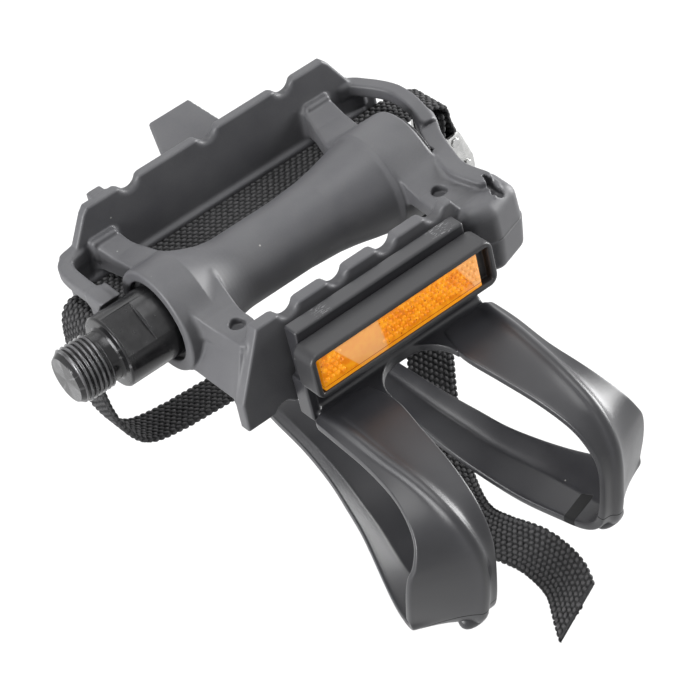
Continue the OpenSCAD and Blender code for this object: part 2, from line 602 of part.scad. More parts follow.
// The strap's route: half-width, Y, Z, then the turn of its width from Y towards X and its tilt
function arc(c, r, a1, a2, n) = [for (i = [0 : n]) let (a = a1 + (a2 - a1) * i / n)
    [buckle_x + c[0] + r * cos(a), strap_y, buckle_z + c[1] + r * sin(a), 0, 0]];
strap_route = concat(
    [[buckle_x + bar_pin[0] - strap_end, strap_y, buckle_z + 19, 0, 0],
     [buckle_x + bar_pin[0] - strap_end, strap_y, buckle_z + 16.5, 0, 0],
     [buckle_x + bar_pin[0] - fold_r + 0.3, strap_y, buckle_z + bar_pin[1] + 1.8, 0, 0]],
    arc(bar_pin, fold_r, 180, 360, 8),
    smooth([
     [buckle_x + bar_pin[0] + fold_r - 0.3, strap_y, buckle_z + bar_pin[1] + 1.8, 0, 0],
     [buckle_x + bar_pin[0] + strap_end, strap_y, buckle_z + 16.5, 0, 0],
     [buckle_x + bar_pin[0] + strap_end - 0.2, strap_y, buckle_z + 19.5, 0, 0],
     [half_len + 7, strap_y, strap_z - 1.2, 0, 0],
     [half_len - 1, strap_y, strap_z, 0, 0],
     [half_len - 6, strap_y, strap_z, 0, 0],
     [0, strap_y, strap_z, 0, 0],
     [-half_len + 6, strap_y, strap_z, 0, 0],
     [-half_len + 1, strap_y, strap_z, 0, 0],
     [-half_len - 1.9, strap_y, -5, 0, 0],
     [-half_len - 3, strap_y, -14, 0, 0],
     [-half_len - 2.8, strap_y, -25, 0, 0],
     [-half_len - 0.8, strap_y, loop_z + 14, 0, 0],
     [-half_len + 4, strap_y, loop_z + 6, 0, 0],
     [-36, strap_y, loop_z + 3, 0, 0],
     [-18, strap_y, loop_z + 1.4, 0, 0],
     [-9, strap_y, loop_z, 0, 0],
     [9, strap_y, loop_z, 0, 0],
     [20, strap_y, loop_z + 0.6, 0, 0],
     [36, strap_y, loop_z + 2.2, 0, 0],
     [half_len - 2.5, strap_y, loop_z + 4.8, 0, 0],
     [half_len + 6.5, strap_y, loop_z + 9.5, 0, 0],
     [buckle_x + run_x, strap_y, buckle_z - 9, 0, 0],
     [buckle_x + run_x, strap_y, buckle_z + roller_pin[1] - 1, 0, 0]], 4),
    arc(roller_pin, turn_r, 180, 0, 8),
    smooth([
     [buckle_x + roller_pin[0] + turn_r, strap_y, buckle_z + 1, 0, 0],
     [buckle_x + roller_pin[0] + turn_r, strap_y, buckle_z - 9, 0, 0],
     [half_len + 12, strap_y - 1, loop_z + 6, -6, 0],
     [half_len + 5, strap_y - 4, loop_z - 2, -18, 0],
     [half_len - 6, strap_y - 9, loop_z - 5, -32, 0],
     [34, 3, loop_z - 6, -44, 0],
     [26, -6, loop_z - 9, -51, 0],
     [17, -18, loop_z - 14, -56, 0],
     [8, -33, loop_z - 17, -64, 0],
     [2.4, -47, loop_z - 17.4, -78, -0.1],
     [2.2, -58, loop_z - 16, -90, -0.26],
     [3.8, -70, loop_z - 14.4, -88, -0.4],
     [2, -83, loop_z - 13.6, -76, -0.44],
     [-3.6, -93, loop_z - 13.4, -64, -0.44]], 4));

module strap() color([0.1, 0.1, 0.1]) {
    p = [for (r = strap_route) [mid_x + r[0], r[1], r[2]]];
    n = len(p);
    rings = [for (i = [0 : n - 1]) let (
            s = step_at(p, i),
            w0 = [sin(strap_route[i][3]), cos(strap_route[i][3]), strap_route[i][4]],
            w = unit(w0 - (w0 * s) * s) * strap_w / 2,
            d = unit(cross(s, w)) * strap_t / 2)
        [p[i] - w - d, p[i] + w - d, p[i] + w + d, p[i] - w + d]];
    difference() {
        polyhedron([for (r = rings) each r], band_faces(n, 4, true), convexity = 10);
        at_rivets() cylinder(r = rivet_r + 0.05, h = 4 * strap_t, center = true, $fn = 24);
    }
}

module at_buckle() translate([mid_x + buckle_x, strap_y, buckle_z]) children();
// A pin or tube across the buckle
module across(p, r, w) translate([p[0], w / 2, p[1]]) rotate([90, 0, 0]) cylinder(r = r, h = w);

module buckle_frame() color("silver") at_buckle() difference() {
    union() {
        translate([plate_in_x, -cheek_in - cheek_t, -9])
            cube([plate_out_x - plate_in_x, 2 * (cheek_in + cheek_t), 9]);
        for (side = [-1, 1]) translate([0, side > 0 ? cheek_in + cheek_t : -cheek_in, 0]) rotate([90, 0, 0])
            linear_extrude(cheek_t) polygon([[plate_out_x, -9], [-2, -9], [-6.6, -6.4], [-6.6, -2], [-2.6, 8],
                [-2.2, 12.4], [1.6, 12.6], [4.2, 4], [4.2, 0.6], [plate_out_x, -1.6]]);
    }
    across(jaw_pin, pin_r, 2 * strap_w);
    across(roller_pin, pin_r, 2 * strap_w);
    across(bar_pin, bar_r, 2 * strap_w);
}
module buckle_bar() color("silver") at_buckle() across(bar_pin, bar_r, pin_len);
module buckle_jaw_pin() color("silver") at_buckle() across(jaw_pin, pin_r, pin_len);
module buckle_roller_pin() color("silver") at_buckle() across(roller_pin, pin_r, pin_len);
module buckle_roller() color("silver") at_buckle() difference() {
    across(roller_pin, roller_r, 2 * (cheek_in - side_gap));
    across(roller_pin, pin_r + turn_gap, 2 * strap_w);
}

module buckle_jaw() color("silver") at_buckle() difference() {
    union() {
        across(jaw_pin, hub_r, jaw_w);
        translate([jaw_pin[0], 0, jaw_pin[1]]) rotate([90, 0, 0])
            linear_extrude(jaw_w, center = true) polygon([[0, 2.1], [jaw_reach - 0.5, 0.9], [jaw_reach, 0.5],
                [jaw_reach - 0.4, 0.1], [jaw_reach, -0.3], [jaw_reach - 0.5, -0.8], [0, -2.1]]);
        translate([lever_x, -jaw_w / 2, jaw_pin[1] - lever_len]) cube([lever_t, jaw_w, lever_len]);
        translate([lever_x - 1.1, -jaw_w / 2, jaw_pin[1] - lever_len - 0.6]) cube([2.3, jaw_w, lever_t]);
    }
    across(jaw_pin, pin_r + turn_gap, 2 * strap_w);
    translate([jaw_pin[0] - hub_r - 0.1, -spring_w / 2 - 0.35, jaw_pin[1] - 3])
        cube([hub_r + 0.1 + spring_r + 0.35, spring_w + 0.7, 6]);
}
module buckle_spring() color("silver") at_buckle() difference() {
    across(jaw_pin, spring_r, spring_w);
    across(jaw_pin, pin_r + 0.15, 2 * strap_w);
}
module at_rivets() at_buckle() for (side = [-1, 1])
    translate([bar_pin[0], side * rivet_y, rivet_z]) rotate([0, 90, 0]) children();
module strap_rivets() color("silver") at_rivets() {
    cylinder(r = rivet_r, h = 2 * strap_t + 0.8, center = true);
    for (side = [-1, 1]) translate([0, 0, side * (strap_t + 0.45)])
        cylinder(r = 1.6, h = 0.4, center = true);
}

spindle();
outer_cone();
lock_washer();
lock_nut();
inner_balls();
outer_balls();
pedal_body();
inner_cup();
outer_cup();
dust_seal();
dust_cap();
toe_clip();
clip_screws();
clip_nuts();
front_reflector_housing();
front_reflector_lens();
rear_reflector_housing();
rear_reflector_lens();
strap();
buckle_frame();
buckle_bar();
buckle_jaw();
buckle_jaw_pin();
buckle_spring();
buckle_roller();
buckle_roller_pin();
strap_rivets();
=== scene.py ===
import math

import bmesh
import bpy
import numpy as np
from mathutils import Matrix, Vector


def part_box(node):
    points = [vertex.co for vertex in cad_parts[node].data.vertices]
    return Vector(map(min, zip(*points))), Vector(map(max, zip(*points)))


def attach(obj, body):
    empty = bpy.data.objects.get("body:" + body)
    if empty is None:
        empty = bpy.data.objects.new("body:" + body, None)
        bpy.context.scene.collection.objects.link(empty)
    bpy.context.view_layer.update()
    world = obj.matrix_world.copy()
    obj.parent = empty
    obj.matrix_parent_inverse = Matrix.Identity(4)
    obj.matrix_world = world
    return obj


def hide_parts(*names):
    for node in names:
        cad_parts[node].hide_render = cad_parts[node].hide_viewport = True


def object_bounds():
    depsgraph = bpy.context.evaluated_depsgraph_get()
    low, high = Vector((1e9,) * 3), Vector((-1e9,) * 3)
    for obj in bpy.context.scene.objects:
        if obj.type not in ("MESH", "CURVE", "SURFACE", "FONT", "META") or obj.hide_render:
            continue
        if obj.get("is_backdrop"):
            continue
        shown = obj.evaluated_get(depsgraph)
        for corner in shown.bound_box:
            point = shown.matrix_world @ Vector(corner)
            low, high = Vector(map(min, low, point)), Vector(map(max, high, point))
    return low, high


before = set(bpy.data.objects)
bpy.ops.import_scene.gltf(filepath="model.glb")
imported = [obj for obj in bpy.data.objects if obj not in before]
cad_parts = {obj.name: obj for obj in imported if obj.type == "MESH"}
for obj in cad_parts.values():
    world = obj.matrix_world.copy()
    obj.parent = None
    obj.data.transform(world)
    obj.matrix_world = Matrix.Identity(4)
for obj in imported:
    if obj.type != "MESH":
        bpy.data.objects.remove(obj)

bl_info = {
    "name": "Bicycle Pedal",
    "version": (1, 0, 0),
    "blender": (4, 5, 0),
    "location": "View3D > Sidebar > Pedal",
    "description": "Builds the looks of a bicycle pedal with a toe clip, round its frame",
    "category": "Object",
}

# Shapes are worked out in millimetres and turned into metres where their mesh is made
MM = 0.001
AXES = {"x": 0, "y": 1, "z": 2}
# The most that a plate's outline may be widened, and the depth of a mould's empty grid
MOST_GROWTH = 5
FAR = 9


def box_mm(*nodes):
    """Lowest and highest corner of some frame nodes together, in millimetres."""
    corners = [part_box(node) for node in nodes]
    low = np.min([np.array(low) for low, _ in corners], axis=0) / MM
    high = np.max([np.array(high) for _, high in corners], axis=0) / MM
    return low, high


# The middle of the body along the spindle, which every shape below is measured from
LENS_LOW, LENS_HIGH = box_mm("front_reflector_lens")
MID_X = (LENS_LOW[0] + LENS_HIGH[0]) / 2
BODY_LOW, BODY_HIGH = box_mm("pedal_body")
MIDDLE = np.array([MID_X, 0, 0])

# Sizes that more than one piece uses, as in the frame. H is counted along the spindle from the body's
# middle: RIM_H and END_H are the barrel's two ends. LOOP_Z is the middle of the strap's sleeve
SOLE_Z = BODY_LOW[2]
WALL_TOP = BODY_HIGH[2]
RIM_H = 14 - MID_X
END_H = 90.5 - MID_X
HALF_LEN = 49.25
STRAP_W = 12
STRAP_T = 1.6
STRAP_Y = 19.8
STRAP_Z = -1.7
LOOP_Z = SOLE_Z - 31.4
SCREW_H = 16
SCREW_Z = -3


def ease_out(share):
    """Falls from 1 to 0 with a crease at its start and a flat end."""
    return 1 - np.sin(share * math.pi / 2)


def curve_through(rows, between):
    """The rows of a table, with rows on a smooth curve added between them."""
    rows = np.array(rows, float)
    ends = np.vstack([rows[:1], rows, rows[-1:]])
    share = np.arange(between)[:, None] / between
    pieces = []
    for i in range(len(rows) - 1):
        a, b, c, d = ends[i:i + 4]
        bend = 2 * a - 5 * b + 4 * c - d + share * (3 * (b - c) + d - a)
        pieces.append(b + 0.5 * share * (c - a + share * bend))
    return np.vstack(pieces + [rows[-1:]])


def unit(vectors):
    """Vectors of length one."""
    vectors = np.asarray(vectors, float)
    return vectors / np.linalg.norm(vectors, axis=-1, keepdims=True)


def steps_along(path):
    """The direction of a path at each of its points."""
    ahead = np.vstack([path[1:], path[-1:]])
    behind = np.vstack([path[:1], path[:-1]])
    return unit(ahead - behind)


# Moulded shapes, held as distances to their surface on a grid of points

def square_to_line(start, end, u, v):
    """Squared distance to the straight line between two points."""
    du, dv = end[0] - start[0], end[1] - start[1]
    share = np.clip(((u - start[0]) * du + (v - start[1]) * dv) / (du * du + dv * dv), 0, 1)
    return (u - start[0] - share * du) ** 2 + (v - start[1] - share * dv) ** 2


def path_distance(path, u, v):
    """Distance to an open path."""
    nearest = np.float32(1e9)
    for start, end in zip(path[:-1], path[1:]):
        nearest = np.minimum(nearest, square_to_line(start, end, u, v))
    return np.sqrt(nearest)


def outline_distance(outline, u, v):
    """Signed distance to a closed outline, negative inside it."""
    inside = np.zeros(np.broadcast(u, v).shape, bool)
    for (u0, v0), (u1, v1) in zip(outline, outline[1:] + outline[:1]):
        if v0 != v1:
            inside ^= ((v0 <= v) != (v1 <= v)) & (u < u0 + (v - v0) * (u1 - u0) / (v1 - v0))
    away = path_distance(outline + outline[:1], u, v)
    return np.where(inside, -away, away)


def off_span(place, start, end):
    """Signed distance to a span along one axis, negative inside it."""
    return np.abs(place - (start + end) / 2) - (end - start) / 2


def rounded(flat, across, radius):
    """Joins a distance in a plane and a distance across it into a plate with rounded edges."""
    a, b = flat + radius, across + radius
    corner = np.sqrt(np.maximum(a, 0) ** 2 + np.maximum(b, 0) ** 2)
    return np.minimum(np.maximum(a, b), 0) + corner - radius


def carried(axis, shape, flat_low, flat_high, start, end, radius):
    """A flat shape carried along an axis, with the lowest and highest corner of the result."""
    flat = [i for i in range(3) if i != AXES[axis]]

    def distance(grid):
        place = grid[AXES[axis]]
        return rounded(shape(grid[flat[0]], grid[flat[1]], place), off_span(place, start, end), radius)

    low = np.insert(np.array(flat_low, float), AXES[axis], start)
    high = np.insert(np.array(flat_high, float), AXES[axis], end)
    return distance, low, high


def plate(axis, outline, start, end, radius=0.5, grow=None):
    """An outline carried along an axis. grow widens it by an amount that depends on the place."""
    def shape(u, v, place):
        inside = outline_distance(outline, u, v)
        return inside - grow(place) if grow else inside

    edge = MOST_GROWTH if grow else 0
    low, high = np.min(outline, 0) - edge, np.max(outline, 0) + edge
    return carried(axis, shape, low, high, start, end, radius)


def rib(axis, path, width, start, end, radius=0.5):
    """A strip of one width that follows a path, carried along an axis."""
    def shape(u, v, _):
        return path_distance(path, u, v) - width / 2

    low, high = np.min(path, 0) - width / 2, np.max(path, 0) + width / 2
    return carried(axis, shape, low, high, start, end, radius)


def rod(axis, centre, size, start, end, radius=0.3):
    """A round rod of that radius along an axis."""
    def shape(u, v, _):
        return np.sqrt((u - centre[0]) ** 2 + (v - centre[1]) ** 2) - size

    middle = np.array(centre, float)
    edge = min(radius, (end - start) / 2)
    return carried(axis, shape, middle - size, middle + size, start, end, edge)


def block(low, high, radius=0.5):
    """A box with rounded edges."""
    low, high = np.array(low, float), np.array(high, float)

    def distance(grid):
        out = [off_span(grid[i], low[i], high[i]) + radius for i in range(3)]
        corner = np.sqrt(sum(np.maximum(q, 0) ** 2 for q in out))
        return corner + np.minimum(np.maximum(np.maximum(out[0], out[1]), out[2]), 0) - radius

    return distance, low, high


def leaning_plate(outline, low_point, high_point, thick, radius=0.5):
    """A plate whose plan is the outline and whose middle climbs from one (Y, Z) to another."""
    slope = (high_point[1] - low_point[1]) / (high_point[0] - low_point[0])

    def height(y):
        return low_point[1] + slope * (y - low_point[0])

    def distance(grid):
        across = np.abs(grid[2] - height(grid[1])) / math.hypot(1, slope) - thick / 2
        return rounded(outline_distance(outline, grid[0], grid[1]), across, radius)

    low, high = np.min(outline, 0), np.max(outline, 0)
    heights = [height(low[1]), height(high[1])]
    return distance, np.array([*low, min(heights) - thick]), np.array([*high, max(heights) + thick])


def saddle(plan, section, radius=0.9):
    """A plate with a plan in X and Y under the roof that a section in Y and Z gives it."""
    def distance(grid):
        roof = outline_distance(section, grid[1], grid[2])
        return rounded(outline_distance(plan, grid[0], grid[1]), roof, radius)

    low, high = np.min(plan, 0), np.max(plan, 0)
    heights = [z for _, z in section]
    return distance, np.array([*low, min(heights)]), np.array([*high, max(heights)])


def turned(places, radii, radius=0.8):
    """A body of revolution about the spindle axis."""
    def distance(grid):
        wide = np.interp(grid[0], places, radii).astype(np.float32)
        out = np.sqrt(grid[1] ** 2 + grid[2] ** 2) - wide
        return rounded(out, off_span(grid[0], places[0], places[-1]), radius)

    most = max(radii)
    return distance, np.array([places[0], -most, -most]), np.array([places[-1], most, most])


def melt(a, b, fillet):
    """The nearer of two distances, with a fillet where they meet."""
    if fillet <= 0:
        return np.minimum(a, b)
    near = np.maximum(fillet - np.abs(a - b), 0) / fillet
    return np.minimum(a, b) - near * near * fillet * 0.25


# The eight corners of one cell of a grid
CORNERS = np.array([(i, j, k) for i in (0, 1) for j in (0, 1) for k in (0, 1)])


class Mould:
    """A grid of distances that forms are added to and cut from, in millimetres."""

    def __init__(self, low, high, step):
        self.low = np.array(low, float)
        self.step = step
        self.axes = [np.arange(a, b + step, step, dtype=np.float32) for a, b in zip(low, high)]
        self.depth = np.full([len(axis) for axis in self.axes], FAR, np.float32)

    def meet(self, form, fillet, sign):
        """Joins a form to what is there, or with sign -1 takes it away."""
        distance, low, high = form
        pad = fillet + 3 * self.step
        window = []
        for i in range(3):
            first = max(int((low[i] - pad - self.low[i]) / self.step), 0)
            last = min(int((high[i] + pad - self.low[i]) / self.step) + 2, len(self.axes[i]))
            window.append(slice(first, last))
        window = tuple(window)
        grid = [self.axes[i][window[i]].reshape([-1 if d == i else 1 for d in range(3)])
                for i in range(3)]
        new = distance(grid)
        self.depth[window] = sign * melt(sign * self.depth[window], new, fillet)

    def add(self, form, fillet):
        """Adds a form, with a fillet where it meets what is there."""
        self.meet(form, fillet, 1)

    def cut(self, form, fillet):
        """Takes a form away, with rounded edges."""
        self.meet(form, fillet, -1)

    def skin(self):
        """Points and four-sided faces of the surface at distance zero."""
        inside = self.depth < 0
        size = np.array(self.depth.shape) - 1
        filled = sum(inside[i:i + size[0], j:j + size[1], k:k + size[2]].astype(np.int8)
                     for i, j, k in CORNERS)
        cells = np.argwhere((filled > 0) & (filled < 8))
        values = np.stack([self.depth[tuple((cells + corner).T)] for corner in CORNERS], 1)
        total = np.zeros((len(cells), 3))
        hits = np.zeros(len(cells))
        for a in range(8):
            for b in range(a + 1, 8):
                if np.abs(CORNERS[a] - CORNERS[b]).sum() != 1:
                    continue
                crossing = (values[:, a] < 0) != (values[:, b] < 0)
                share = values[:, a] / np.where(crossing, values[:, a] - values[:, b], 1)
                total += crossing[:, None] * (CORNERS[a] + share[:, None] * (CORNERS[b] - CORNERS[a]))
                hits += crossing
        points = self.low + self.step * (cells + total / hits[:, None])
        number = np.full(size, -1)
        number[tuple(cells.T)] = np.arange(len(cells))
        return points, np.vstack([self.faces_across(axis, inside, number) for axis in range(3)])

    @staticmethod
    def faces_across(axis, inside, number):
        """The faces that cut the grid's edges along one axis, each turned outwards."""
        unit_steps = np.eye(3, dtype=int)
        u, v = unit_steps[(axis + 1) % 3], unit_steps[(axis + 2) % 3]
        before = inside[tuple(slice(0, -1) if d == axis else slice(1, -1) for d in range(3))]
        after = inside[tuple(slice(1, None) if d == axis else slice(1, -1) for d in range(3))]
        edges = np.argwhere(before != after) + (np.arange(3) != axis)
        faces = np.stack([number[tuple((edges - shift).T)] for shift in (0 * u, u, u + v, v)], 1)
        outward = inside[tuple(edges.T)]
        faces[~outward] = faces[~outward, ::-1]
        return faces

    def normals(self, points):
        """The direction straight out of the surface at some points near it."""
        place = (points - self.low) / self.step
        slope = np.zeros_like(place)
        for axis in range(3):
            nudge = 0.5 * np.eye(3)[axis]
            slope[:, axis] = self.sample(place + nudge) - self.sample(place - nudge)
        return unit(slope + 1e-9)

    def sample(self, place):
        """The distance at some places given in grid steps."""
        limit = np.array(self.depth.shape) - 2
        base = np.clip(np.floor(place).astype(int), 0, limit)
        share = np.clip(place - base, 0, 1)
        total = np.zeros(len(place))
        for corner in CORNERS:
            weight = np.prod(np.where(corner, share, 1 - share), axis=1)
            total += weight * self.depth[tuple((base + corner).T)]
        return total


# Meshes and pieces

def new_object(name, data):
    """An object of that mesh, lamp or camera, linked to the scene."""
    obj = bpy.data.objects.new(name, data)
    bpy.context.scene.collection.objects.link(obj)
    return obj


def smooth(mesh):
    """Shades every face of a mesh smoothly."""
    mesh.polygons.foreach_set("use_smooth", [True] * len(mesh.polygons))


def solid(name, points, faces):
    """A mesh object from points in millimetres about the body's middle."""
    mesh = bpy.data.meshes.new(name)
    places = (np.asarray(points, float) + MIDDLE) * MM
    mesh.from_pydata(places.tolist(), [], [list(map(int, face)) for face in faces])
    smooth(mesh)
    mesh.update()
    return new_object(name, mesh)


def loose_shape(name, points, faces):
    """A mesh object from points in millimetres about its own origin, for setting on sites."""
    mesh = bpy.data.meshes.new(name)
    mesh.from_pydata((np.array(points) * MM).tolist(), [], faces)
    return new_object(name, mesh)


def with_modifiers(obj):
    """Turns an object's modifiers into its mesh."""
    graph = bpy.context.evaluated_depsgraph_get()
    mesh = bpy.data.meshes.new_from_object(obj.evaluated_get(graph))
    obj.modifiers.clear()
    old = obj.data
    obj.data = mesh
    bpy.data.meshes.remove(old)
    return obj


def moulded_object(name, mould, most_triangles):
    """The mesh of a mould, thinned to a number of triangles, with its true normals."""
    points, faces = mould.skin()
    obj = solid(name, points, faces)
    ratio = most_triangles / (2 * len(faces))
    if ratio < 1:
        thin = obj.modifiers.new("thin", "DECIMATE")
        thin.ratio = ratio
        with_modifiers(obj)
    places = np.empty(3 * len(obj.data.vertices), np.float32)
    obj.data.vertices.foreach_get("co", places)
    normals = mould.normals(places.reshape(-1, 3) / MM - MIDDLE)
    obj.data.normals_split_custom_set_from_vertices(normals.tolist())
    return obj


def join(name, *objects):
    """Several objects as one."""
    with bpy.context.temp_override(active_object=objects[0], object=objects[0],
                                   selected_objects=list(objects),
                                   selected_editable_objects=list(objects)):
        bpy.ops.object.join()
    objects[0].name = name
    objects[0].data.name = name
    return objects[0]


def stacked_faces(rings, around):
    """Faces between rings with the same number of points, and across the last of them."""
    faces = []
    for i in range(rings - 1):
        for k in range(around):
            j = (k + 1) % around
            faces.append((i * around + k, i * around + j, (i + 1) * around + j, (i + 1) * around + k))
    faces.append(tuple((rings - 1) * around + k for k in range(around)))
    return faces


def tube_faces(rings, around):
    """Faces of a closed tube of rings with the same number of points."""
    return stacked_faces(rings, around) + [tuple(range(around - 1, -1, -1))]


def point_outwards(obj):
    """Turns every face of a closed mesh outwards."""
    work = bmesh.new()
    work.from_mesh(obj.data)
    bmesh.ops.remove_doubles(work, verts=work.verts, dist=1e-7)
    bmesh.ops.recalc_face_normals(work, faces=work.faces)
    work.to_mesh(obj.data)
    work.free()
    return obj


def round_edges(obj, width, segments, angle):
    """Rounds the edges that are sharper than an angle in degrees."""
    bevel = obj.modifiers.new("round", "BEVEL")
    bevel.width = width * MM
    bevel.segments = segments
    bevel.limit_method = "ANGLE"
    bevel.angle_limit = math.radians(angle)
    obj.modifiers.new("even", "WEIGHTED_NORMAL").keep_sharp = True
    with_modifiers(obj)


def rounded_copy(node, name, width, segments):
    """A copy of a frame node with its sharp edges rounded."""
    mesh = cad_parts[node].data.copy()
    obj = new_object(name, mesh)
    work = bmesh.new()
    work.from_mesh(mesh)
    bmesh.ops.remove_doubles(work, verts=work.verts, dist=2e-6)
    bmesh.ops.dissolve_limit(work, angle_limit=math.radians(0.6), verts=work.verts, edges=work.edges)
    work.to_mesh(mesh)
    work.free()
    mesh.materials.clear()
    round_edges(obj, width, segments, 35)
    smooth(obj.data)
    return obj


def finish_piece(obj, material, body, slot, *nodes):
    """Gives a piece its material and its body, and hides the frame nodes that it stands for. Its slot
    is not used.
    """
    obj.data.materials.clear()
    obj.data.materials.append(material)
    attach(obj, body)
    if nodes:
        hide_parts(*nodes)


def finish_node(node, body, slot, width, segments=2):
    """Finishes a rounded copy of a frame node, in the material that goes with its slot."""
    copy = rounded_copy(node, node + "_finished", width, segments)
    finish_piece(copy, material_named(slot + "_look"), body, slot, node)


# Node trees

class Nodes:
    """Adds nodes to a tree and joins them."""

    def __init__(self, tree):
        self.tree = tree

    def put(self, socket, value):
        """Links a socket to another one, or sets its value."""
        if isinstance(value, bpy.types.NodeSocket):
            self.tree.links.new(value, socket)
        else:
            socket.default_value = value

    def add(self, kind, values=(), settings=(), **named):
        """A node with values for its first sockets, settings, and values for sockets by name."""
        node = self.tree.nodes.new(kind)
        for key, value in dict(settings).items():
            setattr(node, key, value)
        for socket, value in zip(node.inputs, values):
            self.put(socket, value)
        self.fill(node, **named)
        return node

    def fill(self, node, **named):
        """Values for a node's sockets by name, with an underscore for each space."""
        for key, value in named.items():
            self.put(node.inputs[key.replace("_", " ")], value)

    def math(self, operation, *values):
        """The result of a sum with values or sockets."""
        return self.add("ShaderNodeMath", values, {"operation": operation}).outputs[0]

    def times(self, first, second):
        """The product of two values or sockets."""
        return self.math("MULTIPLY", first, second)

    def minus(self, first, second):
        """The difference of two values or sockets."""
        return self.math("SUBTRACT", first, second)

    def mix(self, factor, first, second):
        """A colour between two others."""
        node = self.add("ShaderNodeMix", (), {"data_type": "RGBA"})
        self.put(node.inputs[0], factor)
        self.put(node.inputs[6], first)
        self.put(node.inputs[7], second)
        return node.outputs[2]

    def range(self, value, low, high, to_low=0.0, to_high=1.0):
        """A value's place between two limits, carried over to two others."""
        return self.add("ShaderNodeMapRange", (value, low, high, to_low, to_high)).outputs[0]

    def within(self, value, middle, half, soft=0.00005):
        """A mask for values close to a middle."""
        away = self.math("ABSOLUTE", self.minus(value, middle))
        return self.range(away, half - soft, half + soft, 1.0, 0.0)

    def noise(self, vector, scale, detail=2.0, rough=0.5):
        """Cloudy noise at a scale."""
        return self.add("ShaderNodeTexNoise", Vector=vector, Scale=scale, Detail=detail,
                        Roughness=rough).outputs["Fac"]

    def stretched_noise(self, vector, scales, scale, rough):
        """Noise that is stretched differently along each axis."""
        stretched = self.add("ShaderNodeMapping", Vector=vector, Scale=scales).outputs[0]
        return self.noise(stretched, scale, 2.0, rough)

    def surface(self, kind, shader):
        """The tree's output node, fed by a shader."""
        self.put(self.add(kind).inputs["Surface"], shader)


def new_tree(name, kind, inputs, outputs):
    """A node group with named inputs (name, socket type, default) and outputs (name, socket type)."""
    tree = bpy.data.node_groups.new(name, kind)
    for label, socket, default in inputs:
        item = tree.interface.new_socket(label, in_out="INPUT", socket_type=socket)
        if default is not None:
            item.default_value = default
    for label, socket in outputs:
        tree.interface.new_socket(label, in_out="OUTPUT", socket_type=socket)
    nodes = Nodes(tree)
    return nodes, nodes.add("NodeGroupInput").outputs, nodes.add("NodeGroupOutput").inputs


def set_inputs(modifier, values):
    """Sets a geometry modifier's inputs by the names that its tree gives them."""
    sockets = {item.name: item.identifier for item in modifier.node_group.interface.items_tree
               if item.item_type == "SOCKET" and item.in_out == "INPUT"}
    for label, value in values.items():
        modifier[sockets[label]] = value


def scatter_tree():
    """Sets a shape on every site, turned to the site's own directions, and adds the ground."""
    nodes, given, out = new_tree("shape_on_sites", "GeometryNodeTree", [
        ("Sites", "NodeSocketGeometry", None), ("Shape", "NodeSocketObject", None),
        ("Ground", "NodeSocketObject", None), ("Smallest", "NodeSocketFloat", 0.9),
        ("Largest", "NodeSocketFloat", 1.1), ("Seed", "NodeSocketInt", 1),
        ("Material", "NodeSocketMaterial", None)], [("Geometry", "NodeSocketGeometry")])
    vector = {"data_type": "FLOAT_VECTOR"}
    outward = nodes.add("GeometryNodeInputNamedAttribute", settings=vector, Name="outward")
    along = nodes.add("GeometryNodeInputNamedAttribute", settings=vector, Name="along")
    upright = nodes.add("FunctionNodeAlignRotationToVector", settings={"axis": "Z"},
                        Vector=outward.outputs[0])
    turned_to = nodes.add("FunctionNodeAlignRotationToVector",
                          settings={"axis": "X", "pivot_axis": "Z"},
                          Rotation=upright.outputs[0], Vector=along.outputs[0])
    size = nodes.add("FunctionNodeRandomValue", settings={"data_type": "FLOAT"})
    nodes.put(size.inputs[2], given["Smallest"])
    nodes.put(size.inputs[3], given["Largest"])
    nodes.put(size.inputs["Seed"], given["Seed"])
    shape = nodes.add("GeometryNodeObjectInfo", Object=given["Shape"])
    ground = nodes.add("GeometryNodeObjectInfo", Object=given["Ground"])
    placed = nodes.add("GeometryNodeInstanceOnPoints", Points=given["Sites"],
                       Rotation=turned_to.outputs[0], Instance=shape.outputs["Geometry"],
                       Scale=size.outputs[1])
    real = nodes.add("GeometryNodeRealizeInstances", (placed.outputs[0],))
    both = nodes.add("GeometryNodeJoinGeometry")
    nodes.tree.links.new(real.outputs[0], both.inputs[0])
    nodes.tree.links.new(ground.outputs["Geometry"], both.inputs[0])
    painted = nodes.add("GeometryNodeSetMaterial", Geometry=both.outputs[0], Material=given["Material"])
    nodes.put(out[0], painted.outputs[0])
    return nodes.tree


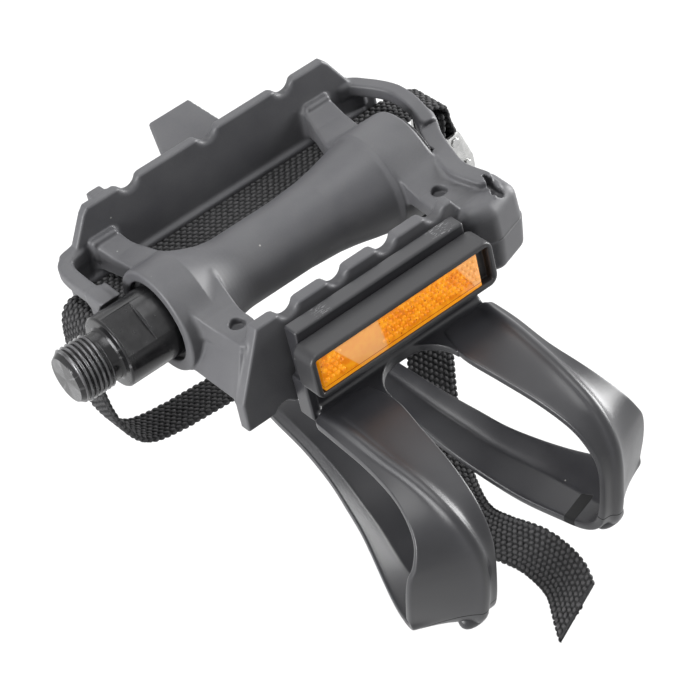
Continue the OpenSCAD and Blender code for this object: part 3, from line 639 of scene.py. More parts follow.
def coil_tree():
    """A bar wound into a coil about the spindle's direction, thinner towards its two ends."""
    nodes, given, out = new_tree("wound_bar", "GeometryNodeTree", [
        ("Geometry", "NodeSocketGeometry", None), ("Turns", "NodeSocketFloat", 8.0),
        ("Coil Radius", "NodeSocketFloat", 0.005), ("Length", "NodeSocketFloat", 0.01),
        ("Bar Radius", "NodeSocketFloat", 0.0005), ("Bar Sides", "NodeSocketInt", 8),
        ("Taper", "NodeSocketFloat", 0.05), ("Place", "NodeSocketVector", None),
        ("Turn", "NodeSocketVector", None), ("Material", "NodeSocketMaterial", None)],
        [("Geometry", "NodeSocketGeometry")])
    spiral = nodes.add("GeometryNodeCurveSpiral", Resolution=64, Rotations=given["Turns"],
                       Start_Radius=given["Coil Radius"], End_Radius=given["Coil Radius"],
                       Height=given["Length"])
    upright = nodes.add("GeometryNodeSetCurveNormal", (spiral.outputs[0],), {"mode": "Z_UP"})
    place = nodes.add("GeometryNodeSplineParameter").outputs["Factor"]
    to_end = nodes.math("MINIMUM", place, nodes.minus(1.0, place))
    thickness = nodes.math("SMOOTH_MIN", nodes.math("DIVIDE", to_end, given["Taper"]), 1.0, 0.2)
    bar = nodes.add("GeometryNodeCurvePrimitiveCircle", Resolution=given["Bar Sides"],
                    Radius=given["Bar Radius"])
    wound = nodes.add("GeometryNodeCurveToMesh", Curve=upright.outputs[0], Profile_Curve=bar.outputs[0],
                      Scale=thickness, Fill_Caps=True)
    laid = nodes.add("GeometryNodeTransform", Geometry=wound.outputs[0], Translation=given["Place"],
                     Rotation=given["Turn"])
    smoothed = nodes.add("GeometryNodeSetShadeSmooth", (laid.outputs[0],))
    real = nodes.add("GeometryNodeRealizeInstances", (smoothed.outputs[0],))
    painted = nodes.add("GeometryNodeSetMaterial", Geometry=real.outputs[0], Material=given["Material"])
    nodes.put(out[0], painted.outputs[0])
    return nodes.tree


def tree_named(name):
    """A geometry or shader tree, built the first time that it is asked for."""
    makers = {"shape_on_sites": scatter_tree, "wound_bar": coil_tree, "moulded_grain": grain_group,
              "rubbed_edges": edge_group, "clip_marks": clip_marks_group, "dust_specks": speck_group,
              "turning_marks": lathe_group}
    return bpy.data.node_groups.get(name) or makers[name]()


def from_tree(name, obj, tree, values):
    """Runs a geometry tree on an object and keeps the result as its plain mesh."""
    modifier = obj.modifiers.new("tree", "NODES")
    modifier.node_group = tree_named(tree)
    set_inputs(modifier, values)
    with_modifiers(obj)
    obj.name = name
    obj.data.name = name
    return obj


def wound(name, values):
    """A bar wound into a coil, as a plain mesh."""
    return from_tree(name, new_object(name, bpy.data.meshes.new(name)), "wound_bar", values)


def sites_object(name, places, outward, along):
    """Loose points in millimetres with the directions that a shape takes on each."""
    mesh = bpy.data.meshes.new(name)
    mesh.from_pydata(((np.asarray(places) + MIDDLE) * MM).tolist(), [], [])
    for label, vectors in (("outward", outward), ("along", along)):
        attribute = mesh.attributes.new(label, "FLOAT_VECTOR", "POINT")
        attribute.data.foreach_set("vector", np.ravel(vectors))
    return new_object(name, mesh)


def drop(*objects):
    """Deletes helper objects."""
    for obj in objects:
        bpy.data.objects.remove(obj, do_unlink=True)


# Shader groups and materials

# The relief of fine grain and turning lines, in metres
FINE_RELIEF = 0.00003

def grain_group():
    """The fine grain of a moulded surface: its tone and its height."""
    nodes, given, out = new_tree("moulded_grain", "ShaderNodeTree", [
        ("Vector", "NodeSocketVector", None), ("Scale", "NodeSocketFloat", 2600.0)],
        [("Tone", "NodeSocketFloat"), ("Height", "NodeSocketFloat")])
    fine = nodes.noise(given["Vector"], given["Scale"], 2.0, 0.6)
    broad = nodes.noise(given["Vector"], nodes.times(given["Scale"], 0.03), 3.0, 0.55)
    nodes.put(out["Tone"], nodes.math("MULTIPLY_ADD", fine, 0.25, nodes.times(broad, 0.75)))
    nodes.put(out["Height"], nodes.math("MULTIPLY_ADD", fine, 0.8, nodes.times(broad, 0.2)))
    return nodes.tree


def edge_group():
    """Where a surface turns sharply outwards, broken up as if rubbed."""
    nodes, given, out = new_tree("rubbed_edges", "ShaderNodeTree", [
        ("Vector", "NodeSocketVector", None), ("Start", "NodeSocketFloat", 0.53),
        ("End", "NodeSocketFloat", 0.62)], [("Mask", "NodeSocketFloat")])
    sharp = nodes.add("ShaderNodeNewGeometry").outputs["Pointiness"]
    mask = nodes.range(sharp, given["Start"], given["End"])
    patches = nodes.range(nodes.noise(given["Vector"], 420.0, 3.0), 0.35, 0.65, 0.35, 1.0)
    nodes.put(out["Mask"], nodes.times(mask, patches))
    return nodes.tree


def speck_group():
    """Small pale specks of dust and lint."""
    nodes, given, out = new_tree("dust_specks", "ShaderNodeTree", [
        ("Vector", "NodeSocketVector", None), ("Scale", "NodeSocketFloat", 260.0),
        ("Amount", "NodeSocketFloat", 0.1)], [("Mask", "NodeSocketFloat")])
    cells = nodes.add("ShaderNodeTexVoronoi", Vector=given["Vector"], Scale=given["Scale"])
    small = nodes.range(cells.outputs["Distance"], 0.03, 0.08, 1.0, 0.0)
    chosen = nodes.math("GREATER_THAN", given["Amount"],
                        nodes.add("ShaderNodeSeparateColor", (cells.outputs["Color"],)).outputs[0])
    nodes.put(out["Mask"], nodes.times(small, chosen))
    return nodes.tree


def lathe_group():
    """Fine turning lines round the spindle axis with broader uneven patches."""
    nodes, given, out = new_tree("turning_marks", "ShaderNodeTree", [
        ("Vector", "NodeSocketVector", None), ("Scale", "NodeSocketFloat", 1.0)],
        [("Lines", "NodeSocketFloat"), ("Patches", "NodeSocketFloat")])
    lines = nodes.stretched_noise(given["Vector"], (9000.0, 260.0, 260.0), given["Scale"], 0.6)
    nodes.put(out["Lines"], lines)
    nodes.put(out["Patches"], nodes.noise(given["Vector"], 330.0, 4.0, 0.65))
    return nodes.tree


def clip_marks_group():
    """A dark line along the toe's lower edge, painted shade in a slot inside each toe, and scuffs on
    its front flange.
    """
    nodes, given, out = new_tree("clip_marks", "ShaderNodeTree", [
        ("Vector", "NodeSocketVector", None)],
        [("Dark", "NodeSocketFloat"), ("Pale", "NodeSocketFloat")])
    axes = nodes.add("ShaderNodeSeparateXYZ", (given["Vector"],)).outputs
    aside = nodes.minus(nodes.math("ABSOLUTE", nodes.minus(axes[0], MID_X * MM)), 0.0187)
    ahead = nodes.math("ADD", axes[1], 0.069)
    along = nodes.math("MULTIPLY_ADD", ahead, 0.31, nodes.times(aside, 0.95))
    across = nodes.math("MULTIPLY_ADD", ahead, 0.95, nodes.times(aside, -0.31))
    # Painted shade: the inside of a slot in each toe is darkened, with no hole cut for it
    slot = nodes.times(nodes.within(along, 0.0, 0.0048), nodes.within(across, 0.0, 0.0017))
    inside = nodes.times(slot, nodes.within(axes[2], -0.0595, 0.0035))
    # A dark line along the toe's lower edge
    wavy = nodes.math("MULTIPLY_ADD", aside, 0.12, axes[2])
    toe_line = nodes.times(nodes.within(wavy, -0.0552, 0.00018), nodes.range(axes[1], -0.069, -0.07))
    nodes.put(out["Dark"], nodes.math("MAXIMUM", inside, toe_line))
    smear = nodes.stretched_noise(given["Vector"], (700.0, 2600.0, 700.0), 1.0, 0.7)
    scratches = nodes.range(smear, 0.56, 0.62)
    flange = nodes.times(nodes.within(axes[1], -0.0338, 0.0022), nodes.range(axes[2], 0.005, 0.0056))
    places = nodes.math("MAXIMUM", nodes.within(axes[0], (MID_X + 20) * MM, 0.0028, 0.001),
                        nodes.within(axes[0], (MID_X - 16) * MM, 0.0016, 0.001))
    nodes.put(out["Pale"], nodes.times(nodes.times(flange, places), scratches))
    return nodes.tree


def empty_nodes(owner):
    """The node tree of a material or world, with nothing in it."""
    owner.use_nodes = True
    owner.node_tree.nodes.clear()
    return Nodes(owner.node_tree)


def start_material(name):
    """An empty material with its nodes, object coordinates and a Principled shader."""
    material = bpy.data.materials.new(name)
    nodes = empty_nodes(material)
    place = nodes.add("ShaderNodeTexCoord").outputs["Object"]
    shader = nodes.add("ShaderNodeBsdfPrincipled")
    nodes.surface("ShaderNodeOutputMaterial", shader.outputs[0])
    return material, nodes, place, shader


def reopened(material):
    """The nodes, object coordinates and Principled shader of a material that is made already."""
    nodes = Nodes(material.node_tree)
    place = nodes.add("ShaderNodeTexCoord").outputs["Object"]
    shader = next(node for node in nodes.tree.nodes if node.type == "BSDF_PRINCIPLED")
    return nodes, place, shader


def source(node, name):
    """The socket that feeds one of a node's inputs."""
    return node.inputs[name].links[0].from_socket


def use_group(nodes, name, **values):
    """The outputs of a shader group that is given some values."""
    node = nodes.add("ShaderNodeGroup", settings={"node_tree": tree_named(name)})
    nodes.fill(node, **values)
    return node.outputs


def bump(nodes, height, strength, distance):
    """Normals bent by a height."""
    return nodes.add("ShaderNodeBump", Strength=strength, Distance=distance, Height=height).outputs[0]


def grey(tone):
    """A neutral colour."""
    return (tone, tone, tone, 1)


def tinted(colour, *factors):
    """A colour with its red, green and blue multiplied."""
    return (*[part * factor for part, factor in zip(colour, factors)], 1)


def resin_material(name, colour, rough, grain=2600.0, worn=1.6, dust=0.05, gloss=0.4):
    """Black-grey moulded plastic with fine grain, rubbed edges and a little dust."""
    material, nodes, place, shader = start_material(name)
    grain_out = use_group(nodes, "moulded_grain", Vector=place, Scale=grain)
    edges = use_group(nodes, "rubbed_edges", Vector=place)["Mask"]
    specks = use_group(nodes, "dust_specks", Vector=place, Amount=dust)["Mask"]
    toned = nodes.mix(nodes.range(grain_out["Tone"], 0.35, 0.65), tinted(colour, 0.86, 0.86, 0.87),
                      tinted(colour, 1.12, 1.12, 1.1))
    handled = nodes.mix(nodes.times(edges, 0.6), toned, tinted(colour, worn, worn, worn))
    nodes.fill(shader, Base_Color=nodes.mix(nodes.times(specks, 0.75), handled, (0.5, 0.49, 0.46, 1)),
               Roughness=nodes.range(grain_out["Tone"], 0.3, 0.7, rough - 0.05, rough + 0.07),
               Specular_IOR_Level=gloss, Normal=bump(nodes, grain_out["Height"], 0.35, FINE_RELIEF))
    return material


def steel_material(name, colour, metallic, rough, lines, worn):
    """Steel or plated steel with turning lines, uneven gloss and bright rubbed edges."""
    material, nodes, place, shader = start_material(name)
    marks = use_group(nodes, "turning_marks", Vector=place)
    edges = use_group(nodes, "rubbed_edges", Vector=place, Start=0.52, End=0.6)["Mask"]
    toned = nodes.mix(nodes.range(marks["Patches"], 0.35, 0.65), tinted(colour, 0.75, 0.75, 0.76),
                      tuple(colour))
    nodes.fill(shader, Base_Color=nodes.mix(nodes.times(edges, 0.8), toned, worn), Metallic=metallic,
               Roughness=nodes.range(marks["Patches"], 0.3, 0.7, rough - 0.07, rough + 0.1),
               Normal=bump(nodes, marks["Lines"], lines, FINE_RELIEF))
    return material


def clip_material(name, colour):
    """The body's kind of plastic with the toe clip's own marks, and painted shade in the slot inside
    each toe.
    """
    material = resin_material(name, colour, rough=0.36, grain=2200.0, gloss=0.5)
    nodes, place, shader = reopened(material)
    marks = use_group(nodes, "clip_marks", Vector=place)
    rough = nodes.math("MAXIMUM", source(shader, "Roughness"), marks["Dark"])
    relief = source(shader, "Normal").node
    height = nodes.math("MULTIPLY_ADD", marks["Dark"], -14.0, source(relief, "Height"))
    nodes.fill(relief, Height=height)
    # Darkens the line along the toe's lower edge and paints shade into the slot inside each toe
    darkened = nodes.mix(nodes.times(marks["Dark"], 0.85), source(shader, "Base Color"), grey(0.004))
    nodes.fill(shader, Base_Color=nodes.mix(marks["Pale"], darkened, (0.16, 0.16, 0.165, 1)),
               Roughness=rough)
    return material


def body_material(name, colour):
    """The body's plastic, with the parting line round its corner block."""
    material = resin_material(name, colour, rough=0.47)
    nodes, place, shader = reopened(material)
    axes = nodes.add("ShaderNodeSeparateXYZ", (place,)).outputs
    block_side = nodes.times(nodes.range(axes[0], (MID_X + 33) * MM, (MID_X + 34) * MM),
                             nodes.range(axes[1], -0.021, -0.022))
    line = nodes.times(nodes.within(axes[2], -0.0049, 0.00014), block_side)
    nodes.fill(shader, Base_Color=nodes.mix(nodes.times(line, 0.75), source(shader, "Base Color"),
                                            grey(0.012)))
    return material


def rubber_material(name):
    """Dull black rubber."""
    return resin_material(name, (0.012, 0.012, 0.013, 1), rough=0.62, grain=1800.0, worn=1.4, dust=0.02)


def webbing_material(name):
    """Black nylon webbing: fine fibres, with a painted highlight that makes the raised threads' crowns
    paler.
    """
    material, nodes, place, shader = start_material(name)
    fibres = nodes.noise(place, 5200.0, 2.0, 0.65)
    threads = nodes.noise(place, 900.0, 2.0, 0.5)
    specks = use_group(nodes, "dust_specks", Vector=place, Scale=520.0, Amount=0.08)["Mask"]
    raised = nodes.add("ShaderNodeAttribute", settings={"attribute_name": "rise"}).outputs["Fac"]
    tone = nodes.math("MULTIPLY_ADD", fibres, 0.6, nodes.times(threads, 0.4))
    cloth = nodes.mix(nodes.range(tone, 0.35, 0.68), (0.009, 0.009, 0.01, 1), (0.052, 0.052, 0.053, 1))
    # Painted highlight: the crowns of the raised threads are made paler
    crown_highlight = nodes.times(nodes.range(raised, 0.45, 1.0), nodes.range(tone, 0.3, 0.6, 0.5, 1.0))
    crown_lit = nodes.mix(nodes.times(crown_highlight, 0.75), cloth, (0.085, 0.084, 0.086, 1))
    linty = nodes.mix(nodes.times(specks, 0.6), crown_lit, (0.17, 0.14, 0.1, 1))
    nodes.fill(shader, Base_Color=linty, Roughness=nodes.range(fibres, 0.3, 0.7, 0.62, 0.85),
               Specular_IOR_Level=0.2, Normal=bump(nodes, fibres, 0.6, 0.00006))
    return material


def lens_material(name, lens, colours):
    """Amber reflector plastic with painted light: a peach stretch and a peach end as painted refraction
    glints, a bright strip along its foot as a painted glow, and a faint painted glow over all of it.
    """
    material, nodes, place, shader = start_material(name)
    low, high = box_mm(lens)
    axes = nodes.add("ShaderNodeSeparateXYZ", (place,)).outputs
    across = nodes.range(axes[0], low[0] * MM, high[0] * MM)
    up = nodes.range(axes[2], low[2] * MM, high[2] * MM)
    deep, saturated, peach, dark = colours

    def right_of(foot, lean):
        """A mask for what lies to the right of a line that leans as it rises."""
        line = nodes.math("MULTIPLY_ADD", up, lean, foot)
        return nodes.range(nodes.minus(across, line), -0.004, 0.004)

    # Painted refraction glints: the pale peach stretch and end of the lens
    glint_stretch = nodes.times(right_of(0.23, -0.13), nodes.minus(1.0, right_of(0.38, -0.025)))
    pale = nodes.math("MAXIMUM", glint_stretch, right_of(0.91, -0.095))
    blotches = nodes.noise(place, 520.0, 3.0, 0.6)
    amber = nodes.mix(nodes.range(blotches, 0.38, 0.62), deep, saturated)
    zoned = nodes.mix(nodes.times(pale, 0.75), amber, peach)
    dots = nodes.add("ShaderNodeTexVoronoi", Vector=place, Scale=750.0).outputs
    draw = nodes.add("ShaderNodeSeparateColor", (dots["Color"],)).outputs[0]
    chosen = nodes.math("LESS_THAN", draw, 0.4)
    specks = nodes.times(nodes.range(dots["Distance"], 0.1, 0.24, 0.8, 0.0), chosen)
    spotted = nodes.mix(nodes.times(specks, nodes.minus(1.0, pale)), zoned, dark)
    # Painted glow: a bright strip of the strongest amber along the lens's foot
    strip = nodes.range(up, 0.1, 0.115, 1.0, 0.0)
    line = nodes.times(nodes.range(up, 0.1, 0.115), nodes.range(up, 0.135, 0.15, 1.0, 0.0))
    footed = nodes.mix(nodes.times(strip, 0.7), spotted, saturated)
    lined = nodes.mix(nodes.times(line, 0.6), footed, dark)
    # Painted glow: the lens gives off light in its own colour at half strength, though it is no lamp
    nodes.fill(shader, Base_Color=lined, Emission_Color=lined, Emission_Strength=0.5, Roughness=0.22,
               Coat_Weight=0.15, Coat_Roughness=0.06, Specular_IOR_Level=0.2,
               Normal=bump(nodes, nodes.noise(place, 300.0, 1.0), 0.15, 0.0002))
    return material


def material_named(name):
    """One of the pedal's materials, made the first time that it is asked for."""
    if name in bpy.data.materials and bpy.data.materials[name].get("pedal"):
        return bpy.data.materials[name]
    looks = bpy.context.scene.pedal_looks
    # Lens colours: deep, strongest, the peach of the painted refraction glints, and dark
    lens_colours = ((0.72, 0.2, 0.004, 1), tuple(looks.amber_colour), (0.78, 0.38, 0.13, 1),
                    (0.25, 0.06, 0.004, 1))
    makers = {
        "body_resin_look": lambda n: body_material(n, looks.body_colour),
        "clip_resin_look": lambda n: clip_material(n, looks.clip_colour),
        "housing_resin_look": lambda n: resin_material(n, looks.housing_colour, rough=0.42, worn=2.4),
        "black_steel_look": lambda n: steel_material(n, looks.spindle_colour, 0.45, 0.2, 0.2,
                                                     (0.16, 0.16, 0.165, 1)),
        "bright_steel_look": lambda n: steel_material(n, looks.steel_colour, 1.0, 0.26, 0.15,
                                                      (0.85, 0.85, 0.84, 1)),
        "zinc_steel_look": lambda n: steel_material(n, (0.62, 0.61, 0.57, 1), 1.0, 0.36, 0.2,
                                                    (0.8, 0.79, 0.75, 1)),
        "ball_steel_look": lambda n: steel_material(n, (0.66, 0.66, 0.67, 1), 1.0, 0.14, 0.05,
                                                    grey(0.8)),
        "webbing_look": webbing_material,
        "seal_rubber_look": rubber_material,
        "front_lens_look": lambda n: lens_material(n, "front_reflector_lens", lens_colours),
        "rear_lens_look": lambda n: lens_material(n, "rear_reflector_lens", lens_colours),
    }
    material = makers[name](name)
    material["pedal"] = True
    return material


# Properties

def colour_setting(name, description, colour):
    """A colour that the panel can change."""
    return bpy.props.FloatVectorProperty(name=name, description=description, subtype="COLOR", size=4,
                                         min=0, max=1, default=(*colour, 1))


def length_setting(name, description, least, most, usual):
    """A length in metres that the panel can change."""
    return bpy.props.FloatProperty(name=name, description=description, subtype="DISTANCE",
                                   unit="LENGTH", min=least, max=most, default=usual)


class PedalLooks(bpy.types.PropertyGroup):
    """Colours and sizes of the pedal's visible pieces."""

    body_colour: colour_setting("Body", "Colour of the moulded body", (0.088, 0.088, 0.094))
    clip_colour: colour_setting("Toe Clip", "Colour of the moulded toe clip", (0.022, 0.022, 0.025))
    housing_colour: colour_setting("Housings", "Colour of the reflector housings",
                                   (0.026, 0.026, 0.028))
    spindle_colour: colour_setting("Spindle", "Colour of the blackened spindle", (0.02, 0.02, 0.021))
    steel_colour: colour_setting("Bright Steel", "Colour of the buckle's steel", (0.5, 0.5, 0.49))
    amber_colour: colour_setting("Amber", "Strongest colour of the reflector lenses", (0.9, 0.33, 0.01))
    grid_step: length_setting("Mould Step", "Distance between the grid points of the moulded shapes",
                              0.0003, 0.001, 0.0004)
    thread_pitch: length_setting("Thread Pitch", "Distance between two ridges of the crank thread",
                                 0.001, 0.0016, 0.00127)
    weave_pitch: length_setting("Weave Pitch", "Distance between two threads along the webbing",
                                0.0012, 0.003, 0.0018)
    weave_columns: bpy.props.IntProperty(
        name="Weave Columns", description="Number of thread columns across the webbing",
        min=5, max=15, default=9)
    prism_pitch: length_setting("Prism Pitch", "Distance between two prisms of a reflector lens",
                                0.0008, 0.003, 0.00155)


# The moulded body

WALL_Y = 27.4
WALL_OUT = 30.2
PLATE_OUT = -30.2
PLATE_IN = -26.6
BAND_TOP = 7.7
BAND_W = 3.8
FLOOR_TOP = -3.4
CRANK_BAND = [(-41, 28.9), (-44.4, 28.2), (-46.6, 25.4), (-47.25, 19), (-47.25, 13), (-47.25, 7.6)]
OUTER_BAND = [(39.6, 29), (42.2, 28), (44.3, 24.6), (46.2, 20.6), (47.4, 16), (47.1, 10), (45.7, 4),
              (44.6, 0.5)]
OUTER_RAIL = [(45.6, 2.8), (44, -0.6), (41.7, -5), (39.1, -12.5), (37.4, -19.5), (38.6, -27)]
BOSS_R = 13.6
WAIST_R = 9.3
NOTCH_R = 2.6
NOTCH_STEP = 14.5
SEAM_Z = -5
POST_H = 30.4
POST_Y = -20.6
PEG_H = 15
PEG_Z = 2.8
BODY_TRIANGLES = 190000

# Bores about the spindle axis: radius, start, end and fillet
BORES = ((10.65, RIM_H - 2, RIM_H + 11, 0.5), (7, RIM_H, END_H, 0), (9.2, END_H - 14, END_H + 1, 0),
         (10.05, END_H - 2.4, END_H + 1, 0.4), (11.6, END_H, END_H + 1.8, 0),
         (9.85, -MID_X - 2, RIM_H, 0.4))


def add_barrel(mould):
    """The barrel: a boss, a waist and a longer boss, each boss ending in a crease."""
    share = np.linspace(0, 1, 12)
    outer = [(8.7, 9.9), (13.2, 10.6), (16.1, 11.2), (18.2, 11.7), (21.4, 12.35), (23.3, 12.75),
             (24.6, BOSS_R), (END_H, 13.4)]
    places = np.concatenate([[RIM_H], -31 + 14 * share, [0], [h for h, _ in outer]])
    radii = np.concatenate([[BOSS_R], WAIST_R + (BOSS_R - WAIST_R) * ease_out(share), [WAIST_R],
                            [r for _, r in outer]])
    mould.add(turned(places, radii), 0)


def cut_notches(mould, count, step, z, wall, fillet):
    """A centred row of round notches in the edge of a wall."""
    for i in range(count):
        place = (step * (i - (count - 1) / 2), z)
        mould.cut(rod("y", place, NOTCH_R, wall[0] - 1, wall[1] + 1), fillet)


def wall_side(end):
    """One half of the rear wall's outline, from its sole side to its top edge."""
    return [(end, SOLE_Z + 5), (end, BAND_TOP), (41.6, BAND_TOP + 1.1), (37.4, WALL_TOP - 1.6),
            (35.9, WALL_TOP)]


def add_rear_wall(mould):
    """The rear wall with its notches, its ledge, the flip tab and the nub beside it."""
    left = [(-h, z) for h, z in wall_side(HALF_LEN - 4)]
    right = wall_side(HALF_LEN - 7)[::-1]
    mould.add(plate("y", left + right, WALL_Y, WALL_OUT, 0.7), 0.8)
    mould.add(block((-44, WALL_Y - 1.2, FLOOR_TOP), (44, WALL_Y + 1, -0.6), 0.6), 1.2)
    cut_notches(mould, 3, 23.5, WALL_TOP + 0.5, (WALL_Y, WALL_OUT), 1.6)
    cut_notches(mould, 6, NOTCH_STEP, SOLE_Z + 4.2, (WALL_Y, WALL_OUT), 1)
    tab = [(-11.6, WALL_OUT - 1), (11.6, WALL_OUT - 1), (6.1, WALL_OUT + 13.9), (-6.1, WALL_OUT + 13.9)]
    mould.add(leaning_plate(tab, (WALL_OUT, 8), (WALL_OUT + 14, WALL_TOP - 1.9), 2.2), 1.2)
    nub = block((-32.8, WALL_OUT - 1, WALL_TOP - 3), (-28.6, WALL_OUT + 2.6, WALL_TOP - 0.1), 0.5)
    mould.add(nub, 0.6)


def add_front_plate(mould):
    """The front plate with raised stretches between its notches."""
    outline = [(-39.8, SOLE_Z), (-39.5, SOLE_Z + 8), (-31, 8), (27, 8), (29, 4.5), (36, 4.5),
               (38, SOLE_Z)]
    mould.add(plate("y", outline, PLATE_OUT, PLATE_IN, 0.55), 0.8)
    cut_notches(mould, 4, NOTCH_STEP, 8.4, (PLATE_OUT, PLATE_IN), 1.5)
    cut_notches(mould, 5, NOTCH_STEP, SOLE_Z - 1, (PLATE_OUT, PLATE_IN), 1)


def add_bands(mould):
    """The two end bands, the rail that slopes down to the corner block, and the webs."""
    low = BAND_TOP - 3.6
    mould.add(rib("z", curve_through(CRANK_BAND, 5), BAND_W, low, BAND_TOP, 0.7), 1.2)
    mould.add(rib("z", [(-41, 28.4), (-43.8, 27.9)], 3.2, FLOOR_TOP, BAND_TOP, 0.5), 0.8)
    for end, start, top in (((47, 27.2), FLOOR_TOP, BAND_TOP - 4.4), ((44, 26.8), 0, BAND_TOP - 1)):
        mould.add(rib("z", [(39, 28.6), (41.6, 27.9), end], 2.2, start, top, 0.5), 0.6)
    mould.add(rib("z", curve_through(OUTER_RAIL, 5), 5, -12, 6.6, 0.7), 1.0)
    mould.add(rib("z", curve_through(OUTER_BAND, 5), BAND_W, low, BAND_TOP, 0.7), 1.2)
    mould.cut(rib("z", [(40.5, -0.7), (47.5, -1.6)], 0.5, BAND_TOP - 1.6, BAND_TOP + 1, 0.1), 0.2)
    for side in (-1, 1):
        web = [(side * h, z) for h, z in ((30.2, 3.6), (34.4, 3.6), (39.3, -10), (35.7, -10))]
        mould.add(plate("y", web, PLATE_IN - 0.6, -6.6, 0.4), 0.9)


def add_corner_block(mould):
    """The block at the outer front corner, which widens to its parting line."""
    outline = [(30.2, -25), (34, -24), (40.6, -25.6), (40.4, -30.4), (34, -32.6), (31, -31.4)]
    mould.add(plate("z", outline, SOLE_Z + 2.8, SEAM_Z + 4, 2.4,
                    lambda z: np.where(z < SEAM_Z, 4.3 - 0.1 * (SEAM_Z - z), 3.2)), 0.5)
    mould.add(plate("z", outline, SEAM_Z - 4, 4.4, 3.4,
                    lambda z: np.where(z > SEAM_Z, 4.0 - 0.05 * (z - SEAM_Z), 3.2)), 0.1)
    strip = [(37.6, -21.5), (41.8, -22.5), (41.9, -26), (41.4, -30), (39.8, -33), (37, -33.4)]
    mould.add(plate("z", strip, SEAM_Z, 4.8, 0.7), 0.4)
    slot = [(39.3, -27.4), (39.1, -29), (38.7, -32.4)]
    mould.cut(rib("z", slot[:2], 1.1, 3, 7, 0.1), 0.3)
    mould.cut(rib("z", slot[1:], 1.7, 2.6, 7, 0.1), 0.5)
    mould.cut(rod("z", (38.7, -32), 1.35, 2.6, 7, 0.1), 0.5)


def add_strap_floor(mould):
    """The floor under the strap, its ribs and the leg that carries the crank-side band."""
    floor_low = FLOOR_TOP - 1.8
    mould.add(block((-44.2, 6, floor_low), (44.2, 28.4, FLOOR_TOP), 0.4), 0.8)
    mould.add(block((40, 17, floor_low), (47.4, 28.6, FLOOR_TOP), 0.4), 0.4)
    mould.add(block((-49.05, 6, floor_low), (-43.45, 13.2, BAND_TOP), 0.5), 0.8)
    for i in (-1, 0, 1):
        mould.cut(block((20 * i - 8, 15, floor_low - 1), (20 * i + 8, 23, FLOOR_TOP + 1), 0.4), 0.3)
    for side in (-1, 1):
        mould.add(block((side * 21 - 1.3, 4, -12), (side * 21 + 1.3, 28.4, -4), 0.4), 0.8)


def add_gussets(mould):
    """The two gussets with a raised lip where each meets the rear wall."""
    slope = [(4, 0.4), (4, 8.6), (7.5, 7.6), (10.5, 6.5), (14.5, 6), (20, 6.6), (25.4, 8), (28.4, 8.4),
             (28.4, 0.4)]
    foot = [(8, SOLE_Z + 6), (8, FLOOR_TOP), (28.4, FLOOR_TOP), (28.4, SOLE_Z + 6)]
    left = [(-38.2, 29), (-30.8, 29), (-30, 22), (-25.6, 11), (-25, 5), (-34.6, 5), (-35.2, 13)]
    right = [(26.8, 29), (34.7, 29), (33.8, 13), (33.6, 5), (22.8, 5), (23.2, 14.5), (25.8, 23)]
    for h, plan in ((-34.6, left), (30.8, right)):
        mould.add(saddle(plan, slope), 1.6)
        mould.add(plate("x", foot, h - 3.3, h + 3.3, 0.5), 0.8)
        mould.add(block((h - 3.7, 25.2, 3), (h + 3.7, 28, 9.3), 0.9), 0.5)


def add_posts(mould):
    """The two round posts beside the barrel's front, with their blind holes."""
    ramp = [(-6, 9), (-9.5, 8.2), (-12, 6.9), (-15, 5.4), (-19, 4.2), (-24, 3.8), (-34, 3.7), (-34, 0),
            (-6, 0)]
    left = [(-36.9, -6), (-36.6, -12), (-35, -20), (-33.8, -28), (-27.2, -28), (-26.8, -17),
            (-25.5, -6)]
    right = [(25.5, -6), (25.4, -17), (25, -28), (33, -33.5), (38, -30), (38.4, -22), (36.6, -14),
             (36.4, -6)]
    for side, plan in ((-1, left), (1, right)):
        mould.add(saddle(plan, ramp, 0.5), 1.2)
        mould.add(rod("z", (side * POST_H, POST_Y), 3.7, -10, 3.6, 0.6), 1.6)
        mould.cut(rod("z", (side * POST_H, POST_Y), 2, 2.4, 7, 0.1), 0.3)


def cut_bores(mould):
    """The bores about the spindle, the screws' holes and the blind holes of the reflector's pegs."""
    for radius, start, end, fillet in BORES:
        mould.cut(rod("x", (0, 0), radius, start, end, 0.1), fillet)
    for side in (-1, 1):
        mould.cut(rod("y", (side * SCREW_H, SCREW_Z), 2.5, PLATE_OUT - 1, PLATE_IN + 1, 0.1), 0.2)
        mould.cut(rod("y", (side * PEG_H, PEG_Z), 1.5, WALL_OUT - 2, WALL_OUT + 1, 0.1), 0)


class PEDAL_OT_body(bpy.types.Operator):
    """Build the moulded body with its fillets, notches and gussets"""
    bl_idname = "pedal.body"
    bl_label = "Body"

    def execute(self, context):
        step = context.scene.pedal_looks.grid_step / MM
        mould = Mould(BODY_LOW - MIDDLE - 1, BODY_HIGH - MIDDLE + 1, step)
        for form in (add_strap_floor, add_barrel, add_rear_wall, add_front_plate, add_bands,
                     add_corner_block, add_gussets, add_posts, cut_bores):
            form(mould)
        obj = moulded_object("body_shell", mould, BODY_TRIANGLES)
        finish_piece(obj, material_named("body_resin_look"), "pedal", "body_resin", "pedal_body")
        return {"FINISHED"}


# The toe clip

